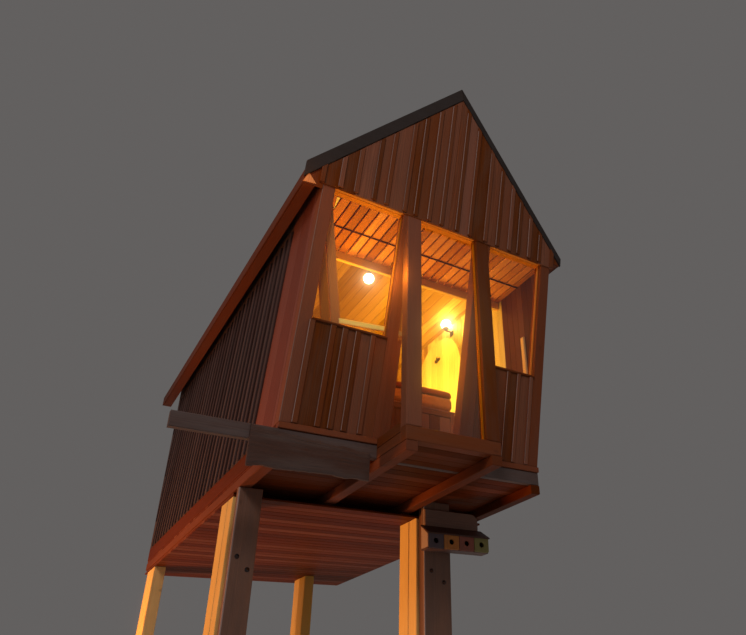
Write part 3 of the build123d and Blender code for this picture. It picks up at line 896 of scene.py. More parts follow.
# %% [markdown]
# ## Rear wall
#
# The rear stands plumb and isn't seen in the photograph, so it repeats the boards and battens of the front at an even
# spacing. Both its boards and its lining run up to the slope of the roof.

# %% Rear wall
def below_roof(clear):
    """A function of x: how high a board of the rear wall may go, that far under the slope."""
    return lambda u: RIDGE - abs(u) - clear


rear_seams = np.concatenate([np.linspace(-HALF, 0, 10), np.linspace(0, HALF, 10)[1:]])
rear_battens = [(x - BATTEN_HALF, x + BATTEN_HALF) for x in rear_seams[1:-1] if x != 0]
REAR_FACE = (DEPTH * INWARD, ACROSS, UP, -INWARD)
unused_highlights = Boards()  # the rear gets no painted highlights: its edges are collected here and never become a piece
clad(rear_seams, 0.0, None, 0.0, below_roof(clear=0.012), rear_battens, REAR_FACE, edges=unused_highlights).piece(
    "rear_boards", cladding, "weathered_boards", "wall_rear")
core("rear_core", wall_outline(0, inset=0.022), BOARD, WALL - LINING, REAR_FACE)
rear_lining, lining_top, REAR_BOARD = Boards(), below_roof(clear=0.02), 0.0992
for a in np.arange(-INNER, INNER - 0.01, REAR_BOARD):
    b = a + REAR_BOARD
    rear_lining.add([(a, 0), (b, 0), (b, lining_top(b)), (a, lining_top(a))], WALL - LINING, WALL, REAR_FACE, SAWN)
rear_lining.piece("rear_lining", pine, "inner_timber")
print("rear boards", len(rear_seams) - 1)

# %% [markdown]
# ## Roof
#
# Each slope has a core with the closed box of the eave in one, twelve courses of boards over it with open joints, and
# boards with a groove at each seam as its lining. The eave gets its own boards below, a fascia and a three-cornered
# end. Both slopes come from one function, because they differ only in a few widths.

# %% Roof
BACK = highest("roof_left")[1]
THICK = 0.045
COVER = 0.014
COURSES = 12
COURSE_GAP = 0.008
ROOF_BOARD = THICK * math.sqrt(2)
BARGE = {-1: 0.095 * math.sqrt(2), 1: 0.045 * math.sqrt(2)}
BARGE_DEEP = 0.03
EAVE_BOARD, FASCIA, EAVE_END = 0.012, 0.014, 0.008
EAVE_RECESS = {-1: 0.07, 1: 0.002}
CEILING_BOARD, CEILING_THICK, SEEN_SEAM = 0.0755, 0.012, 1.216
CEILING_SEAMS = np.arange(SEEN_SEAM - CEILING_BOARD * 16, INNER, CEILING_BOARD)


def front_y(z):
    """Where the front's leaning face is at that height."""
    return -LEAN * z


def roof_side(side):
    """Core, cover, lining, eave boards, fascia and three-cornered end of one slope."""
    word = "left" if side < 0 else "right"
    edge = abs(EAVE[side])
    low = RIDGE - edge - DROP[side]
    outwards = side * ACROSS
    down, out_of = outwards - UP, (outwards + UP) / math.sqrt(2)
    core_top = RIDGE + (THICK - COVER) * math.sqrt(2)
    core_edge = edge - FASCIA
    recess = HALF + EAVE_RECESS[side]
    outline = np.array([(0.0, RIDGE), (HALF, WALL_TOP), (recess, RIDGE - recess), (recess, low + EAVE_BOARD),
                        (core_edge, low + EAVE_BOARD), (core_edge, core_top - core_edge), (0.0, core_top)])
    Boards().add(outline * (side, 1), HAIR, BACK - CLEAR + LEAN * outline[:, 1], FRONT, BROKEN).piece(
        "roof_core_" + word, roof_core, "roof_boards", "roof_" + word)
    cover = Boards()
    top = ((RIDGE + ROOF_BOARD) * UP, down, INWARD, out_of)
    steps = np.linspace(0.0, edge, COURSES + 1)
    half_gap = COURSE_GAP / 2 / math.sqrt(2)
    for a, b in pairs(steps):
        a, b = a + half_gap * (a > 0), b - half_gap * (b < edge)
        fronts = front_y(RIDGE + ROOF_BOARD - np.array([a, b])) + HAIR
        cover.add([(a, fronts[0]), (b, fronts[1]), (b, BACK), (a, BACK)], -COVER, 0.0, top, SAWN)
    cover.piece("roof_cover_" + word, roof_wood, "roof_boards")
    lining = Boards()
    below = (RIDGE * UP, down, INWARD, -out_of)
    seams = [0.012, *(t for t in CEILING_SEAMS if t > 0.02), INNER + 0.004]
    for a, b in pairs(seams):
        fronts = front_y(RIDGE - np.array([a, b])) + WALL
        a, b = a + HAIR, b - HAIR
        lining.add([(a, fronts[0]), (b, fronts[1]), (b, REAR_IN), (a, REAR_IN)], 0.0, CEILING_THICK, below,
                   POST_CHAMFER)
    lining.piece("ceiling_boards_" + word, pine, "inner_timber")
    eave = Boards()
    under_eave = (low * UP, outwards, INWARD, -UP)
    eave.add(rect(recess + HAIR, edge - 0.016, front_y(low) + CLEAR, BACK), -EAVE_BOARD, 0.0, under_eave, SAWN)
    high = RIDGE - edge + ROOF_BOARD - CLEAR
    fascia = (edge * outwards, INWARD, UP, outwards)
    eave.add([(front_y(low), low), (BACK, low), (BACK, high), (front_y(high), high)], -FASCIA, 0.0, fascia, SAWN,
             along=0)
    eave.piece("eave_boards_" + word, framing, "frame_timber")
    corner = np.array([(HALF + CLEAR, low), (edge - HAIR, low), (edge - HAIR, RIDGE - edge),
                       (HALF + CLEAR, WALL_TOP)])
    Boards().add(corner * (side, 1), -EAVE_END, 0.0, FRONT, BROKEN, tone=0.2).piece(
        "eave_end_" + word, framing, "frame_timber")


roof_side(-1)
roof_side(1)
print("courses of boards on each slope:", COURSES)

# %% [markdown]
# On the left a pale triangle on the eave's end is painted light, where light falls on it. The edge boards along the
# gable are wide on the left slope and thin on the right, so their mitre at the top stands a little left of the middle.

# %% Eave tip and edge boards
# painted light: the lit corner of the eave's end; the rest of the end stays dark, as in shadow
lit_tip = [(-1.486, 2.031), (-1.366, 2.045), (-1.449, 2.128)]
Boards().add(lit_tip, -2 * EAVE_END, -EAVE_END, FRONT, BROKEN, tone=0.9).piece("eave_lit_tip_left", loft_pine, "frame_timber")
barge = Boards()
BARGE_TOP = (-(BARGE[-1] - BARGE[1]) / 2, RIDGE + (BARGE[-1] + BARGE[1]) / 2)
for side in (-1, 1):
    edge = abs(EAVE[side])
    low, high = RIDGE - BARGE_LAP, RIDGE + BARGE[side]
    barge.add([(0.0, low), (side * edge, low - edge), (side * edge, high - edge), BARGE_TOP], -BARGE_DEEP, 0.0,
              along=0)
barge.piece("barge_planks", roof_wood, "roof_boards", "barge_boards")
print("mitre at", round(BARGE_TOP[0], 3), round(BARGE_TOP[1], 3))

# %% [markdown]
# ## Floor, joists and soffit
#
# From below the house shows its carpentry: deck boards across, joists along, and a soffit of boards hung under them a
# little further back, with a dark gap over its front edge.

# %% Underside
UNDER_JOIST = lowest("joist_left")[2]
_, SOFFIT_START, SOFFIT_LOW = lowest("soffit")
SOFFIT_HIGH = SOFFIT_LOW + 0.02
UNDER_BOARD, DECK_BOARD, ROOM_BOARD = 0.118, 0.022, 0.124
DECK_FRONT, DECK_REAR = 0.062, DEPTH - 0.021
DECK_GAP, SOFFIT_GAP, SOFFIT_CHAMFER = 0.004, 0.005, 0.0035
OVER_BOARDS = UNDER_DECK + DECK_BOARD + 0.0005
SIDE_BEAM, CROSS_IN, FLOOR_START = 0.045, 0.02, 0.03
deck = Boards()
deck_starts = np.arange(DECK_FRONT, DEPTH - 0.02, UNDER_BOARD)
for y in deck_starts:
    beam(deck, -HALF + CLEAR, HALF - CLEAR, y, min(y + UNDER_BOARD - DECK_GAP, DECK_REAR), UNDER_DECK,
         UNDER_DECK + DECK_BOARD, SAWN)
beam(deck, BAY_LEFT + SKIRT + CLEAR, BAY_RIGHT - SKIRT - CLEAR, 0.0, STRIP_IN, -STRIP_TALL, -0.004, SAWN)
for y0, y1 in ((DECK_FRONT, 0.10), (DEPTH - 0.06, DECK_REAR)):
    beam(deck, -HALF + CROSS_IN, HALF - CROSS_IN, y0, y1, OVER_BOARDS, -DECK_BOARD - CLEAR, BROKEN)
for x0 in (-HALF, HALF - SIDE_BEAM):
    beam(deck, x0, x0 + SIDE_BEAM, DECK_FRONT, DEPTH, OVER_BOARDS, -0.001, EASED)
deck.piece("deck_boards", under_in_shade, "floor_timber", "floor_deck")
floor = Boards()
for x in np.arange(-INNER, INNER - 0.02, ROOM_BOARD):
    beam(floor, x + HAIR, x + ROOM_BOARD - HAIR, FLOOR_START, REAR_IN, -DECK_BOARD, 0.0, SAWN)
floor.piece("room_floor_boards", pine, "inner_timber")

JOISTS = ("joist_left", "joist_right", "side_joist_left", "side_joist_right")
CLEAR_OF_TOP = 0.0015
joists = Boards()
for name in JOISTS:
    low, high = solid(name)
    beam(joists, low[0], high[0], low[1], high[1], low[2], high[2] - CLEAR_OF_TOP)
joists.piece("joist_timbers", under_in_shade, "floor_timber", *JOISTS)

soffit = Boards()
for y in np.arange(SOFFIT_START, DEPTH - 0.02, UNDER_BOARD):
    beam(soffit, -HALF, HALF, y, min(y + UNDER_BOARD - SOFFIT_GAP, DEPTH), SOFFIT_LOW, SOFFIT_HIGH, SOFFIT_CHAMFER)
for name in JOISTS:
    low, high = solid(name)
    beam(soffit, low[0] + 0.01, high[0] - 0.01, SOFFIT_START + 0.05, DEPTH - 0.02, SOFFIT_HIGH, UNDER_JOIST, BROKEN)
soffit.piece("soffit_boards", under_in_shade, "floor_timber", "soffit")

THICK_CHAMFER = 0.007
low, high = solid("rim_beam")
beam(Boards(), low[0], high[0], low[1], high[1], low[2], high[2] - CLEAR_OF_TOP, THICK_CHAMFER, 0.7).piece(
    "rim_timber", rim_wood, "frame_timber", "rim_beam")
print("underside: deck boards", len(deck_starts))

# %% [markdown]
# ## Posts
#
# Each front post is built up: a dark plank in front, a packer behind it and two thick planks of newer, golden wood at
# the back, whose strong gold is also painted warm light on the posts' left faces. The rear posts are pairs of such
# planks. Across the front right post runs a short board with one round corner, which carries the nest boxes.

# %% Posts
front_posts, thick_planks, post_edge_highlights = Boards(), Boards(), Boards()
POST_PLANK, POST_RECESS, POST_SPLIT = 0.06, 0.025, 0.45
PLANK_GAP, REAR_GAP = 0.004, 0.003
EDGE_FACE, EDGE_SIDE, EDGE_SHORT = 0.011, 0.009, 0.01
BOLTS = ((0.27, -0.85), (0.73, -0.95), (0.27, -1.75), (0.73, -1.85), (0.27, -2.65), (0.73, -2.75), (0.5, -3.45))
THICK_TOP = SOFFIT_LOW - CLEAR
bolts = []
for node, top in (("post_front_right", UNDER_DECK), ("post_front_left", UNDER_JOIST)):
    low, high = solid(node)
    x0, x1, packer = low[0], high[0], low[1] + POST_PLANK
    seam_y = SOFFIT_START + (high[1] - SOFFIT_START) * POST_SPLIT
    beam(front_posts, x0, x1, low[1], packer - HAIR, GROUND, top - CLEAR, PLANED, 0.55)
    beam(front_posts, x0 + POST_RECESS, x1 - POST_RECESS, packer, SOFFIT_START - HAIR, GROUND, top - CLEAR,
         POST_CHAMFER)
    for y0, y1 in ((SOFFIT_START, seam_y - PLANK_GAP), (seam_y + PLANK_GAP, high[1])):
        beam(thick_planks, x0, x1, y0, y1, GROUND, THICK_TOP, THICK_CHAMFER)
    # painted highlight: a pale strip along the front plank's left front edge, for the light catching it
    beam(post_edge_highlights, x0 - PROUD, x0 + EDGE_FACE, low[1] - PROUD, low[1] + EDGE_SIDE, GROUND, top - EDGE_SHORT, CRISP,
         tone=1.0)
    bolts += [(x0 + share * (x1 - x0), low[1], z) for share, z in BOLTS]
front_posts.piece("front_post_planks", post_wood, "post_timber", "post_front_right", "post_front_left")
thick_planks.piece("front_post_thick_planks", post_gold_lit, "post_timber")
post_edge_highlights.piece("front_post_edges", highlight_wood, "post_timber")
rear_posts = Boards()
for node in ("post_rear_right", "post_rear_left"):
    low, high = solid(node)
    middle = (low[1] + high[1]) / 2
    for y0, y1 in ((low[1], middle - REAR_GAP), (middle + REAR_GAP, high[1])):
        beam(rear_posts, low[0], high[0], y0, y1, GROUND, THICK_TOP)
rear_posts.piece("rear_post_planks", post_gold_lit, "post_timber", "post_rear_right", "post_rear_left")

low, high = solid("nest_board")
ROUND = 0.08
turns = np.linspace(0, math.pi / 2, 10)
nose = np.stack([high[0] - ROUND * (1 - np.cos(turns)), high[2] - ROUND * (1 - np.sin(turns))], 1)
carrier = np.concatenate([[(low[0], low[2]), (high[0], low[2])], nose, [(low[0], high[2])]])
Boards().add(carrier, low[1], high[1] - HAIR, PLUMB, along=0, tone=0.9).piece(
    "nest_carrier", post_wood, "post_timber", "nest_board")
print("posts dressed, bolt places:", len(bolts))

# %% [markdown]
# ## Bolts
#
# Round-headed bolts draw the layers of the front posts together. A washer and its bolt head are one profile turned
# about an axis, the way a lathe would make them; the lamp globes, their stem and their cup are turned later with the
# same function. The one bolt is then repeated at every place.

# %% Turned shapes and bolts
def turned(profile, spokes=24):
    """A surface of revolution about z: the (radius, height) profile at each of the spokes; radius 0 closes a pole."""
    profile = np.asarray(profile, float)
    angle = np.arange(spokes) * 2 * math.pi / spokes
    points, rows, faces, count = [], [], [], 0
    for radius, height in profile:
        ring_here = 1 if radius < 1e-9 else spokes
        a = angle[:ring_here]
        points.append(np.stack([radius * np.cos(a), radius * np.sin(a), np.full(ring_here, height)], 1))
        rows.append(np.arange(ring_here) + count)
        count += ring_here
    n = np.arange(spokes)
    for low, high in pairs(rows):
        a, b = low[n % len(low)], low[(n + 1) % len(low)]
        c, d = high[(n + 1) % len(high)], high[n % len(high)]
        corners = (a, c, d) if len(low) == 1 else (a, b, c) if len(high) == 1 else (a, b, c, d)
        faces += np.stack(corners, 1).tolist()
    return np.concatenate(points), faces


def set_out(points, faces, places, axis):
    """The same small shape at many places, its z turned to that axis."""
    axis = np.array(axis, float) / np.linalg.norm(axis)
    side = np.cross(axis, (0.31, 0.77, 0.55))
    side /= np.linalg.norm(side)
    turn = np.stack([side, np.cross(axis, side), axis])
    spread = np.concatenate([points @ turn + place for place in np.asarray(places, float)])
    all_faces = [tuple(i + len(points) * n for i in face) for n in range(len(places)) for face in faces]
    return spread, all_faces


iron, iron_shader, wires = new_material("bolt_iron")
rust = wires.object_noise(60.0, 4.0)
wires.fill(iron_shader, {
    "Base Color": wires.mix(wires.ramp(rust, 0.45, 0.6), (0.06, 0.06, 0.065, 1), (0.13, 0.05, 0.02, 1)),
    "Roughness": wires.ramp(rust, 0.3, 0.7, 0.35, 0.75), "Metallic": 0.8})
washer = [(0, 0), (0.02, 0), (0.02, 0.003), (0.012, 0.0035), (0.0115, 0.007), (0.008, 0.0105), (0, 0.012)]
new_piece("post_bolts", *set_out(*turned(washer, 12), bolts, (0, -1, 0)), iron, "post_timber", smooth=True)
print("bolts:", len(bolts))

# %% [markdown]
# ## Sign board
#
# A rough old plank hangs on the rim beam. Its face isn't flat: the soft parts of the wood have weathered away between
# the hard ones. A fine grid over the board's slanting outline is pushed in by bands of noise that run along it, and a
# plain back and four edges close it. It carries no lettering.

# %% Sign board
SIGN_THICK = 0.035
SIGN = np.array([(-1.515, -0.389), (-0.514, -0.377), (-0.514, -0.154), (-1.515, -0.082)])


def smooth_noise(u, v, cells, seed):
    """Value noise: random numbers on a small grid, blended with a smooth step between its points."""
    table = np.random.default_rng(seed).uniform(-1, 1, (cells[0] + 2, cells[1] + 2))
    x, y = u * cells[0], v * cells[1]
    i, j = np.floor(x).astype(int), np.floor(y).astype(int)
    fx, fy = x - i, y - j
    fx, fy = fx * fx * (3 - 2 * fx), fy * fy * (3 - 2 * fy)
    low = table[i, j] * (1 - fx) + table[i + 1, j] * fx
    high = table[i, j + 1] * (1 - fx) + table[i + 1, j + 1] * fx
    return low * (1 - fy) + high * fy


def rough_plank(corners, near, far, across=110, high=36):
    """Front and back grids over the four corners, joined round the edge: the front's depth follows banded noise."""
    u, v = np.meshgrid(np.linspace(0, 1, across), np.linspace(0, 1, high), indexing="ij")
    ragged = 0.009 * smooth_noise(u, v * 0, (9, 1), 4) * (2 * v - 1) + 0.003 * smooth_noise(u, v * 0, (47, 1), 5)
    flat = ((1 - u) * (1 - v))[..., None] * corners[0] + (u * (1 - v))[..., None] * corners[1] \
        + (u * v)[..., None] * corners[2] + ((1 - u) * v)[..., None] * corners[3]
    flat[..., 1] += ragged * np.abs(2 * v - 1) ** 3
    band = smooth_noise(u, v, (5, 17), 1) * 0.5 + smooth_noise(u, v, (9, 34), 2) * 0.35
    edge = np.minimum(np.minimum(u, 1 - u) * 14, np.minimum(v, 1 - v) * 7)
    sunk = 0.004 + 0.0045 * band + 0.008 * np.clip(1 - edge, 0, 1) ** 2
    front = np.stack([flat[..., 0], near + sunk, flat[..., 1]], -1).reshape(-1, 3)
    back = np.stack([flat[..., 0], np.full(u.shape, far), flat[..., 1]], -1).reshape(-1, 3)
    index, quads = grid(across, high)
    loop = np.concatenate([index[:, 0], index[-1, 1:], index[-2::-1, -1], index[0, -2:0:-1]])
    ahead = np.roll(loop, -1)
    n = across * high
    rim_faces = np.stack([loop, loop + n, ahead + n, ahead], 1)
    return np.concatenate([front, back]), quads.tolist() + (quads[:, ::-1] + n).tolist() + rim_faces.tolist()


sign_points, sign_faces = rough_plank(SIGN, -SIGN_THICK, -HAIR)
sign = Boards()
sign.keep(sign_points, sign_faces, sign_points[:, [2, 1, 0]], 0.4)
sign.piece("sign_plank", sign_wood, "sign_timber", "sign_board")
print("sign points", len(sign_points))

# %% [markdown]
# ## Nest boxes
#
# Four small boxes stand in a row on the board at the post, each front painted its own dark colour, each with a round
# hole. The front is a grid in polar form: at each angle one point on the hole's circle and one on the rectangle's
# edge, so the hole is a true opening into a dark box. A sloping lid closes them.

# %% Nest boxes
nest_low, nest_high = solid("nest_boxes")
BOX_TOP, HOLE, END_BOARD = -0.53, 0.026, 0.014


def paint_finish(name, colour):
    """Old matt paint over wood: the timber group's figure stands faintly through, and chips show it bare."""
    return timber_finish(name, np.array(colour) * 1.25, np.array(colour) * 0.75, 0.3, 0.2, 0.35, (0.16, 0.1, 0.06), 0.3)


def holed_front(x0, x1, z0, z1, near, far, hole, spokes=40):
    """A front plate with a round hole: rings from the hole's circle to the rectangle, front and back, all closed."""
    angle = np.arange(spokes) * 2 * math.pi / spokes + math.pi / 4
    centre = np.array([(x0 + x1) / 2, (z0 + z1) / 2])
    ray = np.stack([np.cos(angle), np.sin(angle)], 1)
    reach = 1 / np.maximum(np.abs(ray[:, 0]) / ((x1 - x0) / 2), np.abs(ray[:, 1]) / ((z1 - z0) / 2))
    circle, square = centre + ray * hole, centre + ray * reach[:, None]
    soft = 0.003
    rings = [(circle, far), (circle, near + soft), (centre + ray * (hole + soft), near),
             (centre + (square - centre) * 0.97, near), (square, near + soft), (square, far)]
    points = np.concatenate([np.stack([r[:, 0], np.full(spokes, d), r[:, 1]], 1) for r, d in rings])
    j = np.arange(spokes)
    n = (j + 1) % spokes
    k = len(rings)
    faces = np.concatenate([np.stack([j + a * spokes, n + a * spokes, n + ((a + 1) % k) * spokes,
                                      j + ((a + 1) % k) * spokes], 1) for a in range(k)])
    return points, faces[:, ::-1].tolist()


PAINTS = (("paint_blue", (0.075, 0.05, 0.065)), ("paint_orange", (0.52, 0.18, 0.03)),
          ("paint_dark_red", (0.27, 0.06, 0.03)), ("paint_green", (0.25, 0.22, 0.06)))
CELL = (nest_high[0] - nest_low[0]) / len(PAINTS)
for number, (name, colour) in enumerate(PAINTS):
    finish = paint_finish(name, colour)
    x0 = nest_low[0] + number * CELL
    points, faces = holed_front(x0 + CLEAR, x0 + CELL - CLEAR, nest_low[2] + 0.004, BOX_TOP - CLEAR, nest_low[1],
                                nest_low[1] + END_BOARD, HOLE)
    front_face = Boards()
    front_face.keep(points, faces, points + rng.uniform(0, 1, 3), rng.uniform(0.3, 0.7))
    front_face.piece(f"nest_front_{number + 1}", finish, "painted_timber")
print("nest box fronts:", len(PAINTS), "cell", round(CELL, 3))

# %% [markdown]
# Behind the fronts the four boxes are one long crate: five upright boards, a floor, a back and a sloping lid that
# stands out a little over the fronts. The board at the open end is pale: painted light, for the warm light on its face.

# %% Nest box crate
crate, lit_end_board = Boards(), Boards()
SIDEWAYS = (np.zeros(3), INWARD, UP, ACROSS)
box_front, box_back = nest_low[1] + END_BOARD + HAIR, nest_high[1] - CLEAR
box_foot, back_top = nest_low[2] + 0.016, nest_high[2] - END_BOARD
side_outline = [(box_front, box_foot), (box_back, box_foot), (box_back, back_top), (box_front, BOX_TOP - 0.012)]
# painted light: the upright board at the open end takes the pale highlight wood, for the light on its face
for number in range(len(PAINTS) + 1):
    middle = np.clip(nest_low[0] + number * CELL, nest_low[0] + END_BOARD / 2, nest_high[0] - END_BOARD / 2)
    (crate if number else lit_end_board).add(side_outline, middle - END_BOARD / 2, middle + END_BOARD / 2, SIDEWAYS, BROKEN,
                                        tone=0.95)
beam(crate, nest_low[0] + HAIR, nest_high[0] - HAIR, box_front, box_back, nest_low[2], box_foot - HAIR, BROKEN)
beam(crate, nest_low[0] + CLEAR, nest_high[0] - CLEAR, box_back - END_BOARD, box_back, box_foot, back_top - 0.004,
     BROKEN)
LID_OUT, LID_SIDE = 0.012, 0.008
lid = [(nest_low[1] - LID_OUT, BOX_TOP - 0.016), (nest_high[1], nest_high[2] - 0.014), (nest_high[1], nest_high[2]),
       (nest_low[1] - LID_OUT, BOX_TOP - CLEAR)]
crate.add(lid, nest_low[0] - LID_SIDE, nest_high[0] + LID_SIDE, SIDEWAYS, SAWN, tone=0.2)
crate.piece("nest_crate", crate_wood, "post_timber", "nest_boxes")
lit_end_board.piece("nest_end_board", highlight_wood, "post_timber")
print("crate points:", crate.count)

# %% [markdown]
# ## Inside: the loft
#
# Through the panes one looks up at a loft of spaced slats, with a beam along its open end. A dark panel over the
# slats is painted shade, so the gaps between them read as dark lines.

# %% Loft
_, LOFT_END, PANEL_TOP = highest("loft")
SLAT_GAP, SLAT_PITCH, SLAT_TOP = 0.018, 0.098, HEAD + 0.028
BEAM_THICK, BEAM_TALL = 0.045, 0.097
loft = Boards()
for index in range(-13, 13):
    x0 = max(index * SLAT_PITCH + SLAT_GAP / 2, -INNER)
    x1 = min((index + 1) * SLAT_PITCH - SLAT_GAP / 2, INNER)
    loft.add(rect(x0, x1, front_y(HEAD) + WALL, LOFT_END), HEAD + HAIR, SLAT_TOP, LEVEL, SAWN)
loft.piece("loft_slats", loft_pine, "inner_timber", "loft")
beam(Boards(), -INNER, INNER, LOFT_END - BEAM_THICK, LOFT_END, HEAD - BEAM_TALL, HEAD, POST_CHAMFER, 0.8).piece(
    "loft_beam", pine, "inner_timber")
# painted shade: the dark panel over the slats stands for the shade above the loft
panel = Boards()
for a, b in pairs(np.linspace(-INNER + 0.004, INNER - 0.004, 5)):
    panel.add(rect(a + HAIR, b - HAIR, front_y(SLAT_TOP) + WALL + 0.004, LOFT_END - 0.06), SLAT_TOP + 0.0005,
              PANEL_TOP, LEVEL, BROKEN)
panel.piece("loft_panel_sheets", panel_wood, "inner_timber")
beam(Boards(), -INNER, INNER, -0.019, -0.005, HEAD - 0.012, HEAD, SAWN, 0.2).piece(
    "loft_lath", panel_wood, "inner_timber")
print("loft slats up to", round(SLAT_TOP, 3))

# %% [markdown]
# ## Round-topped boarding
#
# On the right wall stands a panel of upright boards under one round top. Each board's head is a short run of points on
# the same circle, sqrt(radius squared - distance from the middle squared) over the shoulder, so the arch runs through
# from board to board.

# %% Round-topped boarding
ARCH_MID, ARCH_RADIUS, SHOULDER, ARCH_BOARD = 1.715, 0.56, 1.655, 0.04
ARCH_FACE = INNER - ARCH_BOARD
arch = Boards()
arch_seams = [1.155, 1.296, 1.437, 1.577, 1.715, 1.856, 1.997, 2.137, 2.275]
arch_basis = (INNER * ACROSS, INWARD, UP, -ACROSS)
for a, b in pairs(arch_seams):
    run = np.linspace(b - SEAM_GAP, a + SEAM_GAP, 7)
    crown = SHOULDER + np.sqrt(np.maximum(ARCH_RADIUS ** 2 - (run - ARCH_MID) ** 2, 0))
    outline = np.concatenate([[(a + SEAM_GAP, 0.0), (b - SEAM_GAP, 0.0)], np.stack([run, crown], 1)])
    arch.add(outline, 0.0, ARCH_BOARD, arch_basis, SAWN, tone=rng.uniform(0.6, 1))
arch.piece("arched_planks", pale_pine, "inner_timber", "arched_board")
latch = Boards()
beam(latch, ARCH_FACE - 0.007, ARCH_FACE, 1.64, 1.76, 1.92, 1.96, BROKEN)
beam(latch, ARCH_FACE - 0.02, ARCH_FACE - 0.006, 1.69, 1.705, 1.90, 1.98, SAWN)
latch.piece("arch_latch", iron, "inner_timber")
print("arch boards:", len(arch_seams) - 1)

# %% [markdown]
# ## Lamps
#
# Both lamps are a globe of cloudy glass, 130 mm across. The glass itself glows a little, so that it shows bright and
# round; the light that fills the room comes from the unseen lights in and beside them. One globe hangs from a long
# thin stem, the other stands in a cup on a small wall bracket.

# %% Lamps
lamp_glow, globe_shader, wires = new_material("lamp_globe")
cloudy = wires.ramp(wires.object_noise(9.0, 2.0), 0.2, 0.8)
wires.fill(globe_shader, {
    "Base Color": (0.9, 0.85, 0.75, 1), "Emission Color": wires.mix(cloudy, (1.0, 0.72, 0.36, 1), (1.0, 0.8, 0.5, 1)),
    "Emission Strength": 9.0, "Roughness": 0.25})

GLOBE = 0.065
theta = np.linspace(0, math.pi, 17)
ball = np.stack([GLOBE * np.sin(theta), -GLOBE * np.cos(theta)], 1)
ball[[0, -1], 0] = 0
collar = [(0, 0.048), (0.028, 0.048), (0.031, 0.056), (0.03, 0.085), (0.014, 0.098), (0.006, 0.102), (0.005, 0.9),
          (0.045, 0.905), (0.05, 0.93), (0, 0.931)]
for name, centre, node in (("pendant_globe", PENDANT, "pendant_lamp"), ("wall_globe", WALL_LAMP, "wall_lamp")):
    points, faces = turned(ball, 32)
    new_piece(name, points + centre, faces, lamp_glow, "lamp_glass", node, smooth=True)
cup = [(0, -0.092), (0.012, -0.09), (0.02, -0.075), (0.04, -0.062), (0.042, -0.05), (0.038, -0.048), (0, -0.052)]
for name, centre, profile in (("pendant_stem", PENDANT, collar), ("wall_lamp_cup", WALL_LAMP, cup)):
    points, faces = turned(profile, 20)
    new_piece(name, points + centre, faces, iron, "lamp_glass", smooth=True)
bracket = Boards()
x, y, z = WALL_LAMP
beam(bracket, x - 0.008, INNER, y - 0.008, y + 0.008, z - 0.098, z - 0.082, SAWN)
beam(bracket, INNER - 0.012, INNER, y - 0.035, y + 0.035, z - 0.147, z - 0.077, EASED)
bracket.piece("wall_lamp_bracket", iron, "lamp_glass")
print("lamps at", PENDANT.round(3), WALL_LAMP.round(3))

# %% [markdown]
# ## Bench
#
# A box bench carries the cushions: two stiles and two rails frame a front of upright boards, plain boards close the
# sides and the back, and five boards make the seat.

# %% Bench
(X0, Y0, Z0), (X1, Y1, Z1) = solid("bench")
STILE, FRAME, SIDE_BOARD, FOOT_RAIL, HEAD_RAIL, SEAT = 0.05, 0.03, 0.02, 0.06, 0.07, 0.021
PANEL_FRONT, PANEL_BACK = Y0 + 0.008, Y0 + 0.024
BODY_TOP = Z1 - SEAT - HAIR
bench = Boards()
for a, b in pairs(np.linspace(X0 + STILE, X1 - STILE, 7)):
    beam(bench, a + HAIR, b - HAIR, PANEL_FRONT, PANEL_BACK, Z0 + FOOT_RAIL, Z1 - HEAD_RAIL, SAWN)
for stile, board in ((X0, X0), (X1 - STILE, X1 - SIDE_BOARD)):
    beam(bench, stile, stile + STILE, Y0, Y0 + FRAME, Z0, BODY_TOP, EASED)
    beam(bench, board, board + SIDE_BOARD, Y0 + FRAME + HAIR, Y1, Z0, BODY_TOP, SAWN)
for low, high in ((Z0, Z0 + FOOT_RAIL), (Z1 - HEAD_RAIL, BODY_TOP)):
    beam(bench, X0 + STILE + HAIR, X1 - STILE - HAIR, Y0, Y0 + FRAME, low, high, EASED)
beam(bench, X0, X1, Y1 - SIDE_BOARD, Y1, Z0, BODY_TOP, SAWN)
for a, b in pairs(np.linspace(Y0, Y1, 6)):
    beam(bench, X0, X1, a + HAIR, b - HAIR, Z1 - SEAT, Z1, SAWN)
bench.piece("bench_boards", bench_wood, "bench_timber", "bench")
print("bench", round(X1 - X0, 2), "by", round(Y1 - Y0, 2))

# %% [markdown]
# ## Cushions
#
# A stuffed cushion is fullest in its middle and softly rounded along its edges. Each one starts as a rounded box a
# little smaller than its place and is swollen by a short cloth run; nothing may leave the place itself. The weave of
# the cover comes from one group: two waves that cross at right angles.

# %% Cloth group and finishes
weave, w, g, out = new_group(
    "cloth_weave",
    [("Vector", "Vector", None), ("Light", "Color", (0.8, 0.6, 0.4, 1)), ("Dark", "Color", (0.6, 0.4, 0.25, 1)),
     ("Threads", "Float", 220.0)],
    [("Color", "Color"), ("Roughness", "Float"), ("Height", "Float")])
x, y, z = w.parts(g["Vector"])
rate = w.math("MULTIPLY", g["Threads"], 2 * math.pi)
warp = w.math("SINE", w.math("MULTIPLY", w.math("ADD", x, w.math("MULTIPLY", z, 0.7)), rate))
weft = w.math("SINE", w.math("MULTIPLY", w.math("SUBTRACT", y, w.math("MULTIPLY", z, 0.7)), rate))
crossing = w.math("MULTIPLY_ADD", w.math("MULTIPLY", warp, weft), 0.5, 0.5)
soiled = w.noise(g["Vector"], 9.0, 3.0)
w.join(out["Color"], w.mix(w.math("ADD", w.math("MULTIPLY", crossing, 0.5), w.ramp(soiled, 0.35, 0.7, 0.0, 0.5)),
                           g["Light"], g["Dark"]))
w.join(out["Roughness"], w.ramp(soiled, 0.3, 0.7, 0.78, 0.95))
w.join(out["Height"], crossing)


